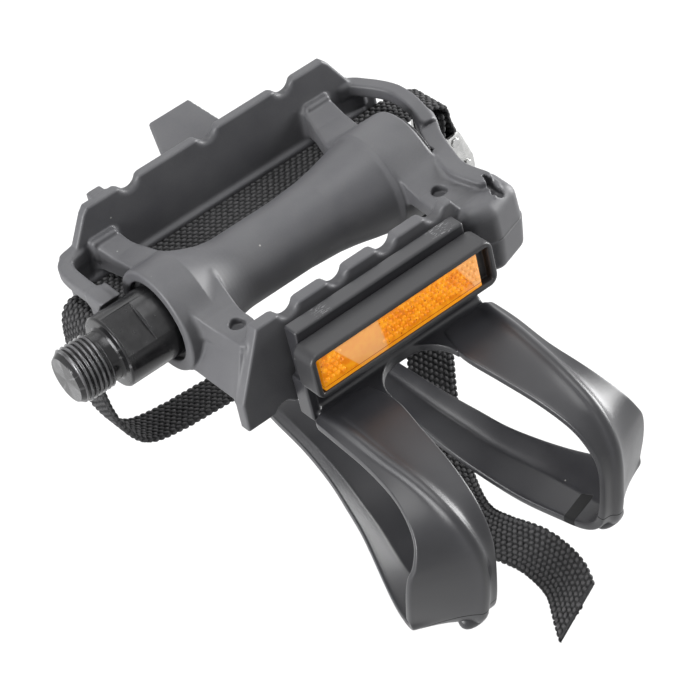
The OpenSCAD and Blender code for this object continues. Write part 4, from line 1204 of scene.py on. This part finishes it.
# Rows along one prong, from its root forwards, down round the toe and back: Y and Z of the outer
# face, half-width at the inner edge, at the rib and at the outer edge, depth of the outer edge, and
# the share of the rib
PRONG_ROWS = [
    (-37, -17.4, 12, 24, 27, 1, 0),
    (-47, -17.9, 9.8, 24, 27.3, 1, 1),
    (-58, -19.6, 11.3, 23.7, 27.3, 1, 1),
    (-70, -21.6, 13, 22.8, 28.8, 1.2, 1),
    (-79.5, -25.6, 14.6, 22.2, 31.6, 3, 1),
    (-84.2, -31.8, 15.6, 21.5, 34.2, 5.5, 1),
    (-85.3, -38, 16.2, 20.9, 35.6, 7, 1),
    (-84.2, -46, 16.4, 20.8, 36.2, 7.7, 1),
    (-82.2, -54, 16.3, 21, 36, 8, 1),
    (-79.6, -59.2, 16, 21.3, 35.8, 7.4, 1.2),
    (-74.6, -62.2, 15.2, 21.5, 35.4, 5.4, 0.6),
    (-66, -63.4, 14.2, 21.5, 33.4, 4.4, 0),
    (-54, -63.4, 12.2, 20.5, 29.2, 3.8, 0),
    (-40, -61, 10.2, 17, 24, 3.4, 0),
    (-31, -58.6, 9, 15.5, 21.6, 3.2, 0),
    (-22, -56.4, 8.4, 14, 19.4, 3, 0),
    (-10, -54, 8, 12.8, 17.6, 2.6, 0),
    (2, -52.4, 7.6, 12, 16.6, 2, 0),
    (8, -51.8, 6.6, 11.4, 15.6, 1.6, 0),
    (13.4, -51.3, 5.6, 10.6, 14.6, 1.2, 0)]
CLIP_T = 2.2
RIB_H = 1.2
FLANGE_IN = -31.6
FLANGE_OUT = -36.2
CLIP_TRIANGLES = 40000
SLEEVE_TRIANGLES = 20000


def prong_section(row):
    """Cross-section of a prong in half-width and depth, round from its inner edge."""
    inner, at_rib, outer, outer_depth, rib_share = row[2:]
    rib = rib_share * RIB_H
    top = [(at_rib + 1.5 + (outer - at_rib - 1.5) * u, outer_depth * u ** 0.8)
           for u in (0, 0.2, 0.45, 0.72, 0.94, 1)]
    back = [(wide, depth + CLIP_T * (0.8 if i == 0 else 1))
            for i, (wide, depth) in enumerate(top[::-1])]
    return [(inner, 0.4), (inner + 0.35, 0), (inner + 1.2, 0), (at_rib - 1.9, 0), (at_rib - 1.3, -rib),
            (at_rib + 0.7, -rib), *top, *back, (at_rib + 0.7, CLIP_T), (at_rib - 1.3, CLIP_T),
            (at_rib - 1.9, CLIP_T), (inner + 1.2, CLIP_T), (inner + 0.35, CLIP_T),
            (inner, CLIP_T - 0.4)]


def prong(side):
    """One prong as a smooth closed shell."""
    rows = curve_through(PRONG_ROWS, 3)
    flat = rows[:, :2]
    steps = steps_along(flat)
    points = []
    for row, place, step in zip(rows, flat, steps):
        for wide, depth in prong_section(row):
            points.append((side * wide, place[0] - step[1] * depth, place[1] + step[0] * depth))
    around = len(points) // len(rows)
    obj = solid("prong", points, tube_faces(len(rows), around))
    point_outwards(obj)
    soften = obj.modifiers.new("soften", "SUBSURF")
    soften.levels = soften.render_levels = 2
    return with_modifiers(obj)


def toe_knob(side):
    """The rounded end of a prong's rib under the toe."""
    centre, half_width, size = (side * 21.2, -77.5, -60.1), 3.9, 2.5
    angles = np.linspace(0, 2 * math.pi, 32, endpoint=False)
    leans = np.linspace(-1.56, 1.56, 19)
    points = []
    for lean in leans:
        radius = size * math.cos(lean) ** 0.7
        points += [(centre[0] + half_width * math.sin(lean), centre[1] + radius * math.cos(a),
                    centre[2] + radius * math.sin(a)) for a in angles]
    return point_outwards(solid("toe_knob", points, tube_faces(len(leans), len(angles))))


def clip_front(step):
    """The plate under the body and the flange that is screwed to its front."""
    mould = Mould((-26.5, -48, SOLE_Z - 3.5), (26.5, -29, 7), step)
    low = SOLE_Z - CLIP_T
    root = [(-25, -46), (25, -46), (25, FLANGE_IN), (-25, FLANGE_IN)]
    middle = SOLE_Z - CLIP_T / 2
    mould.add(leaning_plate(root, (-46, middle - 0.55), (-37, middle - 0.05), CLIP_T), 0)
    mould.cut(rod("z", (0, -46), 9.8, low - 2, SOLE_Z + 2, 0.1), 0.5)
    mould.add(block((-25, FLANGE_OUT, low), (25, FLANGE_IN, 5.9), 0.5), 1.5)
    mould.add(block((-26.4, FLANGE_OUT - 0.8, low), (-24, FLANGE_IN, -8), 0.5), 0.8)
    for side in (-1, 1):
        mould.add(rod("y", (side * SCREW_H, SCREW_Z), 5.5, FLANGE_IN - 1, PLATE_OUT, 0.2), 0.4)
        mould.cut(rod("y", (side * SCREW_H, SCREW_Z), 2.55, -40, -29, 0.1), 0)
    return mould


def clip_sleeve(step):
    """The sleeve under the body that the strap runs through."""
    mould = Mould((-16.5, 8.5, LOOP_Z - 5), (16.5, 31, LOOP_Z + 4), step)
    mould.add(block((-9, 10.8, LOOP_Z - 3.4), (9, 28.8, LOOP_Z + 2.6), 0.9), 0)
    mould.add(block((-14.5, 10.6, LOOP_Z - 3.4), (14.5, 13.2, LOOP_Z - 0.6), 0.6), 0.8)
    mould.cut(block((-20, 13.3, LOOP_Z - 1.3), (20, 26.3, LOOP_Z + 1.3), 0.5), 0.5)
    return mould


class PEDAL_OT_toe_clip(bpy.types.Operator):
    """Build the toe clip: two prongs, the plate that carries them and the sleeve for the strap"""
    bl_idname = "pedal.toe_clip"
    bl_label = "Toe Clip"

    def execute(self, context):
        step = context.scene.pedal_looks.grid_step / MM
        parts = [moulded_object("clip_front", clip_front(step), CLIP_TRIANGLES),
                 moulded_object("clip_loop", clip_sleeve(step), SLEEVE_TRIANGLES),
                 prong(-1), prong(1), toe_knob(-1), toe_knob(1)]
        obj = join("toe_clip_shell", *parts)
        finish_piece(obj, material_named("clip_resin_look"), "pedal", "clip_resin", "toe_clip")
        return {"FINISHED"}


# The spindle

THREAD_R = 7.15
THREAD_ROOT = THREAD_R - 0.62
THREAD_START = -10.9
THREAD_LEN = 8.2
COLLAR_R = 9.3
FLAT_HALF = 7.5
FLAT_LEN = 8
FLAT_START = 0.8
FLAT_TURN = math.radians(34)

# Places from the crank's face and radii, from the thread's end to the outer tip
SPINDLE_PROFILE = [
    (-12, 0.01), (-12, THREAD_ROOT - 0.75), (-10.7, THREAD_ROOT + 0.05), (-10.5, THREAD_ROOT),
    (-2.8, THREAD_ROOT), (-2.4, THREAD_ROOT - 0.15), (-0.5, THREAD_ROOT - 0.15), (0, THREAD_ROOT + 0.4),
    (0, COLLAR_R - 0.8), (0.15, COLLAR_R - 0.3), (0.55, COLLAR_R), (17.1, COLLAR_R),
    (17.5, COLLAR_R - 0.4), (17.6, 8.3), (18.4, 8.3), (23.2, 5.8), (24, 5.5), (74, 4.8), (75.5, 4),
    (88.4, 4), (88.9, 3.4), (88.9, 0.01)]

# Faces of a box whose corners run through its ends in X, then Y, then Z
BOX_FACES = [(0, 1, 3, 2), (4, 6, 7, 5), (0, 4, 5, 1), (2, 3, 7, 6), (0, 2, 6, 4), (1, 5, 7, 3)]


def lathe(name, profile, sides=160):
    """A closed body turned about the spindle axis from places and radii in millimetres."""
    angles = np.linspace(0, 2 * math.pi, sides, endpoint=False)
    points = [(h, r * math.sin(a), r * math.cos(a)) for h, r in profile for a in angles]
    return point_outwards(solid(name, points, tube_faces(len(profile), sides)))


def cut_flats(obj):
    """Cuts the two wrench flats into the collar."""
    points = np.array([(x, y, z) for x in (FLAT_START, FLAT_START + FLAT_LEN) for y in (-14, 14)
                       for z in (FLAT_HALF, 14)])
    for side in (0, math.pi):
        spin = np.array(Matrix.Rotation(FLAT_TURN + side, 3, "X"))
        tool = solid("flat_tool", points @ spin.T - MIDDLE, BOX_FACES)
        cut = obj.modifiers.new("flat", "BOOLEAN")
        cut.operation = "DIFFERENCE"
        cut.object = tool
        with_modifiers(obj)
        drop(tool)


def thread_ridge(pitch, steel):
    """The ridge of the thread, wound round the spindle's root."""
    return wound("thread_ridge", {
        "Turns": THREAD_LEN / pitch, "Coil Radius": THREAD_ROOT * MM, "Length": THREAD_LEN * MM,
        "Bar Radius": 0.6 * MM, "Bar Sides": 4, "Taper": 0.06,
        "Place": Vector((THREAD_START * MM, 0, 0)), "Turn": Vector((0, math.pi / 2, 0)),
        "Material": steel})


class PEDAL_OT_spindle(bpy.types.Operator):
    """Build the spindle: chamfered thread, smooth neck, collar with two flats, and shaft"""
    bl_idname = "pedal.spindle"
    bl_label = "Spindle"

    def execute(self, context):
        obj = lathe("spindle_turned", [(x - MID_X, r) for x, r in SPINDLE_PROFILE])
        cut_flats(obj)
        round_edges(obj, 0.12, 2, 32)
        steel = material_named("black_steel_look")
        pitch = context.scene.pedal_looks.thread_pitch / MM
        obj = join("spindle_turned", obj, thread_ridge(pitch, steel))
        finish_piece(obj, steel, "axle", "black_steel", "spindle")
        return {"FINISHED"}


class PEDAL_OT_bearings(bpy.types.Operator):
    """Finish the bearing cones, cups, balls, washer, nut, seal and cap"""
    bl_idname = "pedal.bearings"
    bl_label = "Bearings and Cap"

    def execute(self, context):
        for node, body, slot in (
                ("outer_cone", "axle", "bright_steel"), ("lock_washer", "axle", "zinc_steel"),
                ("lock_nut", "axle", "zinc_steel"), ("inner_cup", "pedal", "bright_steel"),
                ("outer_cup", "pedal", "bright_steel"), ("dust_seal", "pedal", "seal_rubber"),
                ("dust_cap", "pedal", "housing_resin")):
            finish_node(node, body, slot, 0.15)
        for node in ("inner_balls", "outer_balls"):
            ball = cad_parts[node]
            ball.data.materials.clear()
            ball.data.materials.append(material_named("ball_steel_look"))
        return {"FINISHED"}


# Reflectors

HOUSING_STEP = 0.35
HOUSING_CORNER = 2.6
HOUSING_DEEP = 7.2
HOUSING_TRIANGLES = 40000
POCKET_DEEP = 2.4


def housing_mould(node, lens, facing):
    """A reflector housing with rounded corners and a deep rim round its lens."""
    low, high = [corner - MIDDLE for corner in box_mm(node)]
    mould = Mould(low - 1, high + 1, HOUSING_STEP)
    front = low[1] if facing < 0 else high[1]
    left, right = low[0] + HOUSING_CORNER, high[0] - HOUSING_CORNER
    foot, top = low[2] + HOUSING_CORNER, high[2] - HOUSING_CORNER
    inner = [(left, foot), (right, foot), (right, top), (left, top)]
    start, end = sorted((front, front - facing * HOUSING_DEEP))
    mould.add(plate("y", inner, start, end, 0.6, lambda y: HOUSING_CORNER), 0)
    pocket_low, pocket_high = [corner - MIDDLE for corner in box_mm(lens)]
    pocket_low[1], pocket_high[1] = sorted((front + facing, front - facing * POCKET_DEEP))
    mould.cut(block(pocket_low, pocket_high, 0.3), 0.5)
    return mould


# How far a lens stops short of the two ends of its housing's pocket
LENS_GAPS = (0.7, 3.1)
# The stretches of a lens that prisms cover, as shares of its length
PRISM_ZONES = ((0.03, 0.14), (0.37, 0.92))


def shorten_lens(ground, lens):
    """Draws the two ends of a lens in by its gaps."""
    low, high = box_mm(lens)
    length = high[0] - low[0]
    share = (length - sum(LENS_GAPS)) / length
    for vertex in ground.data.vertices:
        vertex.co.x = (low[0] + LENS_GAPS[0] + (vertex.co.x / MM - low[0]) * share) * MM


def lens_points(lens, facing, pitch):
    """Sites for the prisms of a lens, in staggered rows on its front face."""
    low, high = [corner - MIDDLE for corner in box_mm(lens)]
    front = low[1] if facing < 0 else high[1]
    places = []
    for row, z in enumerate(np.arange(low[2] + 1.5, high[2] - 0.8, pitch * 0.866)):
        for h in np.arange(low[0] + 1 + (row % 2) * pitch / 2, high[0] - 1, pitch):
            across = (h - low[0]) / (high[0] - low[0])
            if any(start < across < end for start, end in PRISM_ZONES) and z > low[2] + 1.9:
                places.append((h, front, z))
    count = len(places)
    return places, [(0, facing, 0)] * count, [(1, 0, 0)] * count


def prism_shape():
    """A low six-sided prism cap, standing on Z = 0."""
    angles = [math.radians(60 * k) for k in range(6)]
    rim = [(0.74 * math.cos(angle), 0.74 * math.sin(angle), 0) for angle in angles]
    top = [(x * 0.55, y * 0.55, 0.22) for x, y, _ in rim]
    return loose_shape("prism", rim + top, tube_faces(2, len(rim)))


class PEDAL_OT_reflectors(bpy.types.Operator):
    """Build both reflectors: a rimmed housing and a lens covered in small prisms"""
    bl_idname = "pedal.reflectors"
    bl_label = "Reflectors"

    def execute(self, context):
        pitch = context.scene.pedal_looks.prism_pitch / MM
        for place, facing in (("front", -1), ("rear", 1)):
            housing_node = f"{place}_reflector_housing"
            lens_node = f"{place}_reflector_lens"
            mould = housing_mould(housing_node, lens_node, facing)
            housing = moulded_object(f"{place}_housing_shell", mould, HOUSING_TRIANGLES)
            resin = material_named("housing_resin_look")
            finish_piece(housing, resin, "pedal", "housing_resin", housing_node)
            ground = rounded_copy(lens_node, "lens_ground", 0.3, 2)
            shorten_lens(ground, lens_node)
            sites = sites_object("prism_sites", *lens_points(lens_node, facing, pitch))
            shape = prism_shape()
            amber = material_named(f"{place}_lens_look")
            lens = from_tree(f"{place}_lens_prisms", sites, "shape_on_sites", {
                "Shape": shape, "Ground": ground, "Smallest": 0.97, "Largest": 1.03, "Seed": 4,
                "Material": amber})
            drop(ground, shape)
            finish_piece(lens, amber, "pedal", "amber_lens", lens_node)
        return {"FINISHED"}


# The strap

BUCKLE_H = HALF_LEN + 10
BUCKLE_Z = -25
BAR_PIN = (-0.35, 10.5)
ROLLER_PIN = (2.15, 2.5)
RUN_H = -0.35
FOLD_R = 1.2 + 0.08 + STRAP_T / 2
TURN_R = 1.6 + 0.08 + STRAP_T / 2
STRAP_END = STRAP_T / 2 + 0.06
CUT_LEN = 6
CUT_SLOPE = 0.93
CORE_T = 0.72


def level(*places):
    """Strap rows from half-widths and heights, where the strap isn't turned or tilted."""
    return [(h, STRAP_Y, z, 0, 0) for h, z in places]


def arc(centre, radius, start, end):
    """Strap rows round a pin of the buckle."""
    angles = np.radians(np.linspace(start, end, 9))
    return level(*zip(BUCKLE_H + centre[0] + radius * np.cos(angles),
                      BUCKLE_Z + centre[1] + radius * np.sin(angles)))


def strap_route():
    """The strap's route: half-width, Y, Z, then the turn of its width from Y towards X and its tilt."""
    bar = BUCKLE_H + BAR_PIN[0]
    fold_z = BUCKLE_Z + BAR_PIN[1] + 1.8
    start = level((bar - STRAP_END, BUCKLE_Z + 19), (bar - STRAP_END, BUCKLE_Z + 16.5),
                  (bar - FOLD_R + 0.3, fold_z))
    loop = level(
        (bar + FOLD_R - 0.3, fold_z), (bar + STRAP_END, BUCKLE_Z + 16.5),
        (bar + STRAP_END - 0.2, BUCKLE_Z + 19.5), (HALF_LEN + 7, STRAP_Z - 1.2),
        (HALF_LEN - 1, STRAP_Z), (HALF_LEN - 6, STRAP_Z), (0, STRAP_Z), (-HALF_LEN + 6, STRAP_Z),
        (-HALF_LEN + 1, STRAP_Z),
        (-HALF_LEN - 1.9, -5), (-HALF_LEN - 3, -14), (-HALF_LEN - 2.8, -25),
        (-HALF_LEN - 0.8, LOOP_Z + 14), (-HALF_LEN + 4, LOOP_Z + 6), (-36, LOOP_Z + 3),
        (-18, LOOP_Z + 1.4), (-9, LOOP_Z), (9, LOOP_Z), (20, LOOP_Z + 0.6), (36, LOOP_Z + 2.2),
        (HALF_LEN - 2.5, LOOP_Z + 4.8), (HALF_LEN + 6.5, LOOP_Z + 9.5),
        (BUCKLE_H + RUN_H, BUCKLE_Z - 9), (BUCKLE_H + RUN_H, BUCKLE_Z + ROLLER_PIN[1] - 1))
    out = BUCKLE_H + ROLLER_PIN[0] + TURN_R
    tail = level((out, BUCKLE_Z + 1), (out, BUCKLE_Z - 9)) + [
        (HALF_LEN + 12, STRAP_Y - 1, LOOP_Z + 6, -6, 0),
        (HALF_LEN + 5, STRAP_Y - 4, LOOP_Z - 2, -18, 0),
        (HALF_LEN - 6, STRAP_Y - 9, LOOP_Z - 5, -32, 0),
        (34, 3, LOOP_Z - 6, -44, 0),
        (26, -6, LOOP_Z - 9, -51, 0),
        (17, -18, LOOP_Z - 14, -56, 0),
        (8, -33, LOOP_Z - 17, -64, 0),
        (2.4, -47, LOOP_Z - 17.4, -78, -0.1),
        (2.2, -58, LOOP_Z - 16, -90, -0.26),
        (3.8, -70, LOOP_Z - 14.4, -88, -0.4),
        (2, -83, LOOP_Z - 13.6, -76, -0.44),
        (-3.6, -93, LOOP_Z - 13.4, -64, -0.44),
        (-3.6 - 0.49 * CUT_LEN, -93 - 0.87 * CUT_LEN, LOOP_Z - 13.4, -62, -0.44)]
    return np.vstack([start, arc(BAR_PIN, FOLD_R, 180, 360), curve_through(loop, 4),
                      arc(ROLLER_PIN, TURN_R, 180, 0), curve_through(tail, 4)])


def lengths(path):
    """The distance from each point of a path to the next."""
    return np.linalg.norm(np.diff(path, axis=0), axis=1)


def strap_frames(spacing):
    """Points along the strap at an even spacing, with its step, width and face directions."""
    rows = strap_route()
    rows = rows[np.concatenate([[True], lengths(rows[:, :3]) > 1e-6])]
    travelled = np.concatenate([[0], np.cumsum(lengths(rows[:, :3]))])
    places = np.linspace(0, travelled[-1], int(travelled[-1] / spacing) + 1)
    even = np.stack([np.interp(places, travelled, rows[:, i]) for i in range(5)], 1)
    path = even[:, :3]
    step = steps_along(path)
    turn = np.radians(even[:, 3])
    wide = np.stack([np.sin(turn), np.cos(turn), even[:, 4]], 1)
    wide = unit(wide - (wide * step).sum(1, keepdims=True) * step)
    return path, step, wide, unit(np.cross(step, wide))


def ribbon(name, path, step, wide, face, spacing, width, thickness):
    """A closed ribbon with rounded edges along a path, cut off at a slant."""
    half, deep = width / 2, thickness / 2
    round_edge = deep * 0.55
    section = [(-half, -round_edge), (-half + 0.3, -deep), (half - 0.3, -deep), (half, -round_edge),
               (half, round_edge), (half - 0.3, deep), (-half + 0.3, deep), (-half, round_edge)]
    whole = len(path) - int(2 * CUT_LEN / spacing)
    points = [p + w * u + f * v for p, w, f in zip(path[:whole], wide, face) for u, v in section]
    for share in (0.25, 0.5, 0.75, 1.0):
        for u, v in section:
            points.append(path[whole - 1] + wide[whole - 1] * u + face[whole - 1] * v
                          + step[whole - 1] * share * (CUT_LEN + CUT_SLOPE * u))
    return point_outwards(solid(name, points, tube_faces(whole + 4, len(section))))


def thread_shape(long, broad, high):
    """One raised thread: an oval dome of a few faces, standing on Z = 0."""
    sides = 8
    rings = ((1.0, 0.0), (0.86, 0.6), (0.5, 1.0))
    points = [(long / 2 * size * math.cos(2 * math.pi * k / sides),
               broad / 2 * size * math.sin(2 * math.pi * k / sides), high * rise)
              for size, rise in rings for k in range(sides)]
    obj = loose_shape("thread", points, stacked_faces(len(rings), sides))
    smooth(obj.data)
    rises = [rise for _, rise in rings for _ in range(sides)]
    obj.data.attributes.new("rise", "FLOAT", "POINT").data.foreach_set("value", rises)
    return obj


def thread_sites(path, step, wide, face, spacing, columns):
    """Sites for the raised threads, in staggered columns on both faces and along both edges."""
    column_step = (STRAP_W - 0.9) / columns
    places, outward, along = [], [], []
    for side in (1, -1):
        for c in range(columns):
            offset = (c - (columns - 1) / 2) * column_step
            last = len(path) - int((CUT_LEN - CUT_SLOPE * offset + 0.8) / spacing)
            rows = np.arange(1 + c % 2, last, 2)
            places.append(path[rows] + wide[rows] * offset + face[rows] * side * CORE_T / 2)
            outward.append(face[rows] * side)
            along.append(step[rows] + wide[rows] * side * (0.3 if c % 2 else -0.3))
        last = len(path) - int((CUT_LEN - CUT_SLOPE * side * STRAP_W / 2 + 0.8) / spacing)
        rows = np.arange(1, last, 2)
        places.append(path[rows] + wide[rows] * side * (STRAP_W - 0.7) / 2)
        outward.append(wide[rows] * side)
        along.append(step[rows])
    return np.vstack(places), np.vstack(outward), np.vstack(along)


class PEDAL_OT_strap(bpy.types.Operator):
    """Build the webbing strap: a ribbon covered on both faces in staggered raised threads"""
    bl_idname = "pedal.strap"
    bl_label = "Strap"

    def execute(self, context):
        looks = context.scene.pedal_looks
        pitch = looks.weave_pitch / MM
        frames = strap_frames(pitch / 2)
        ground = ribbon("webbing_core", *frames, pitch / 2, STRAP_W - 0.5, CORE_T)
        sites = sites_object("thread_sites", *thread_sites(*frames, pitch / 2, looks.weave_columns))
        shape = thread_shape(0.98 * pitch, 0.96 * (STRAP_W - 0.9) / looks.weave_columns, 0.45)
        cloth = material_named("webbing_look")
        obj = from_tree("webbing_strap", sites, "shape_on_sites", {
            "Shape": shape, "Ground": ground, "Smallest": 0.88, "Largest": 1.02, "Seed": 7,
            "Material": cloth})
        drop(ground, shape)
        finish_piece(obj, cloth, "pedal", "webbing", "strap")
        return {"FINISHED"}


class PEDAL_OT_buckle(bpy.types.Operator):
    """Finish the buckle: rounded steel frame, pins, jaw, roller, rivets and a wound spring"""
    bl_idname = "pedal.buckle"
    bl_label = "Buckle"

    def execute(self, context):
        for node, body, width in (("buckle_frame", "pedal", 0.22), ("buckle_bar", "pedal", 0.2),
                                  ("buckle_jaw_pin", "pedal", 0.2), ("buckle_roller_pin", "pedal", 0.2),
                                  ("strap_rivets", "pedal", 0.16), ("buckle_jaw", "jaw", 0.15),
                                  ("buckle_roller", "roller", 0.15)):
            finish_node(node, body, "bright_steel", width)
        low, high = box_mm("buckle_spring")
        centre = (low + high) / 2
        wire = 0.28
        coil_r = (high[2] - low[2]) / 2 - wire
        steel = material_named("bright_steel_look")
        spring = wound("wound_spring", {
            "Turns": 6.0, "Coil Radius": coil_r * MM, "Length": (high[1] - low[1] - 2 * wire) * MM,
            "Bar Radius": wire * MM, "Bar Sides": 10, "Taper": 0.004,
            "Place": Vector((centre[0] * MM, (low[1] + wire) * MM, centre[2] * MM)),
            "Turn": Vector((-math.pi / 2, 0, 0)), "Material": steel})
        finish_piece(spring, steel, "pedal", "bright_steel", "buckle_spring")
        return {"FINISHED"}


class PEDAL_OT_fasteners(bpy.types.Operator):
    """Finish the screws and nuts that hold the toe clip"""
    bl_idname = "pedal.fasteners"
    bl_label = "Fasteners"

    def execute(self, context):
        for node in ("clip_screws", "clip_nuts"):
            finish_node(node, "pedal", "zinc_steel", 0.25, 3)
        return {"FINISHED"}


# The stage

CAMERA_PLACE = Vector((-0.20631, -0.47854, 0.41369))
CAMERA_RIGHT = Vector((0.7681, -0.6115, -0.1898))
CAMERA_DOWN = Vector((-0.5181, -0.4195, -0.7454))
CAMERA_AHEAD = Vector((0.3762, 0.6709, -0.6391))
CAMERA_LENS = 148.12
FLOOR_HALF = 2.5
LAMP_TARGET = (0.05, 0, -0.02)
# Each lamp's place, size and power
LAMPS = {
    "lamp_above": ((0.0, 0.0, 0.9), 0.6, 4.8),
    "lamp_behind": ((0.35, 0.6, 0.6), 0.5, 1),
    "lamp_left": ((-0.85, 0.0, 0.25), 0.5, 13),
    "lamp_right": ((0.9, -0.1, 0.2), 0.5, 15),
}


def floor_material():
    """A pale floor that keeps soft shadows and looks white to the camera and in reflections."""
    material = bpy.data.materials.new("pale_floor")
    nodes = empty_nodes(material)
    rays = nodes.add("ShaderNodeLightPath").outputs
    seen = nodes.math("MAXIMUM", rays["Is Camera Ray"], rays["Is Glossy Ray"])
    pale = nodes.add("ShaderNodeBsdfDiffuse", Color=grey(0.85))
    white = nodes.add("ShaderNodeEmission", Color=grey(1), Strength=1.0)
    shadowed = nodes.add("ShaderNodeMixShader", (0.55, pale.outputs[0], white.outputs[0]))
    plain = nodes.add("ShaderNodeBsdfDiffuse", Color=grey(0.32))
    both = nodes.add("ShaderNodeMixShader", (seen, plain.outputs[0], shadowed.outputs[0]))
    clear = nodes.add("ShaderNodeBsdfTransparent")
    below = nodes.add("ShaderNodeNewGeometry").outputs["Backfacing"]
    sided = nodes.add("ShaderNodeMixShader", (below, both.outputs[0], clear.outputs[0]))
    nodes.surface("ShaderNodeOutputMaterial", sided.outputs[0])
    return material


def soft_lamp(name, place, size, power):
    """A large square lamp that faces the pedal."""
    data = bpy.data.lights.new(name, "AREA")
    data.shape = "SQUARE"
    data.size = size
    data.energy = power
    lamp = new_object(name, data)
    lamp.location = place
    lamp.rotation_euler = (Vector(LAMP_TARGET) - Vector(place)).to_track_quat("-Z", "Y").to_euler()


def set_camera(scene):
    """The camera that sees the pedal as the photo does."""
    data = bpy.data.cameras.new("camera")
    data.lens = CAMERA_LENS
    data.sensor_width = 36
    data.clip_start = 0.01
    camera = new_object("camera", data)
    turn = Matrix((CAMERA_RIGHT.normalized(), -CAMERA_DOWN.normalized(),
                   -CAMERA_AHEAD.normalized())).transposed()
    camera.matrix_world = Matrix.Translation(CAMERA_PLACE) @ turn.to_4x4()
    scene.camera = camera


def white_world(scene):
    """A world that looks white and gives a weak fill light."""
    world = bpy.data.worlds.new("studio")
    scene.world = world
    nodes = empty_nodes(world)
    rays = nodes.add("ShaderNodeLightPath").outputs
    seen = nodes.math("MAXIMUM", rays["Is Camera Ray"],
                      nodes.math("MAXIMUM", rays["Is Glossy Ray"], rays["Is Transmission Ray"]))
    fill = nodes.add("ShaderNodeBackground", Color=(0.9, 0.92, 0.95, 1), Strength=0.2)
    white = nodes.add("ShaderNodeBackground", Color=grey(1), Strength=1.0)
    mixed = nodes.add("ShaderNodeMixShader", (seen, fill.outputs[0], white.outputs[0]))
    nodes.surface("ShaderNodeOutputWorld", mixed.outputs[0])


class PEDAL_OT_stage(bpy.types.Operator):
    """Set up the camera, the pale floor and the soft studio light"""
    bl_idname = "pedal.stage"
    bl_label = "Stage"

    def execute(self, context):
        scene = context.scene
        scene.view_settings.view_transform = "Standard"
        set_camera(scene)

        # The floor is low enough for the body and its strap to turn right round the spindle
        low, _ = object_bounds()
        height = -math.hypot(low[1], low[2])
        mesh = bpy.data.meshes.new("floor")
        mesh.from_pydata([(x * FLOOR_HALF, y * FLOOR_HALF, height)
                          for x, y in ((-1, -1), (1, -1), (1, 1), (-1, 1))], [], [(0, 1, 2, 3)])
        mesh.materials.append(floor_material())
        new_object("floor", mesh)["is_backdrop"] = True

        for name, (place, size, power) in LAMPS.items():
            soft_lamp(name, place, size, power)
        white_world(scene)
        return {"FINISHED"}


STEPS = (PEDAL_OT_body, PEDAL_OT_toe_clip, PEDAL_OT_spindle, PEDAL_OT_bearings, PEDAL_OT_fasteners,
         PEDAL_OT_reflectors, PEDAL_OT_strap, PEDAL_OT_buckle, PEDAL_OT_stage)


class PEDAL_PT_panel(bpy.types.Panel):
    """The pedal's colours, sizes and building steps"""
    bl_idname = "PEDAL_PT_panel"
    bl_label = "Bicycle Pedal"
    bl_space_type = "VIEW_3D"
    bl_region_type = "UI"
    bl_category = "Pedal"

    def draw(self, context):
        looks = context.scene.pedal_looks
        for name in PedalLooks.__annotations__:
            self.layout.prop(looks, name)
        for step in STEPS:
            self.layout.operator(step.bl_idname)


CLASSES = (PedalLooks, *STEPS, PEDAL_PT_panel)


def register():
    """Adds the settings, the operators and the panel to Blender."""
    for cls in CLASSES:
        bpy.utils.register_class(cls)
    bpy.types.Scene.pedal_looks = bpy.props.PointerProperty(type=PedalLooks)


def unregister():
    """Takes them away again."""
    del bpy.types.Scene.pedal_looks
    for cls in reversed(CLASSES):
        bpy.utils.unregister_class(cls)


def main():
    """Builds every piece and the stage."""
    register()
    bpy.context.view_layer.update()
    for step in STEPS:
        getattr(bpy.ops.pedal, step.bl_idname.split(".")[1])()


if __name__ == "__main__":
    main()
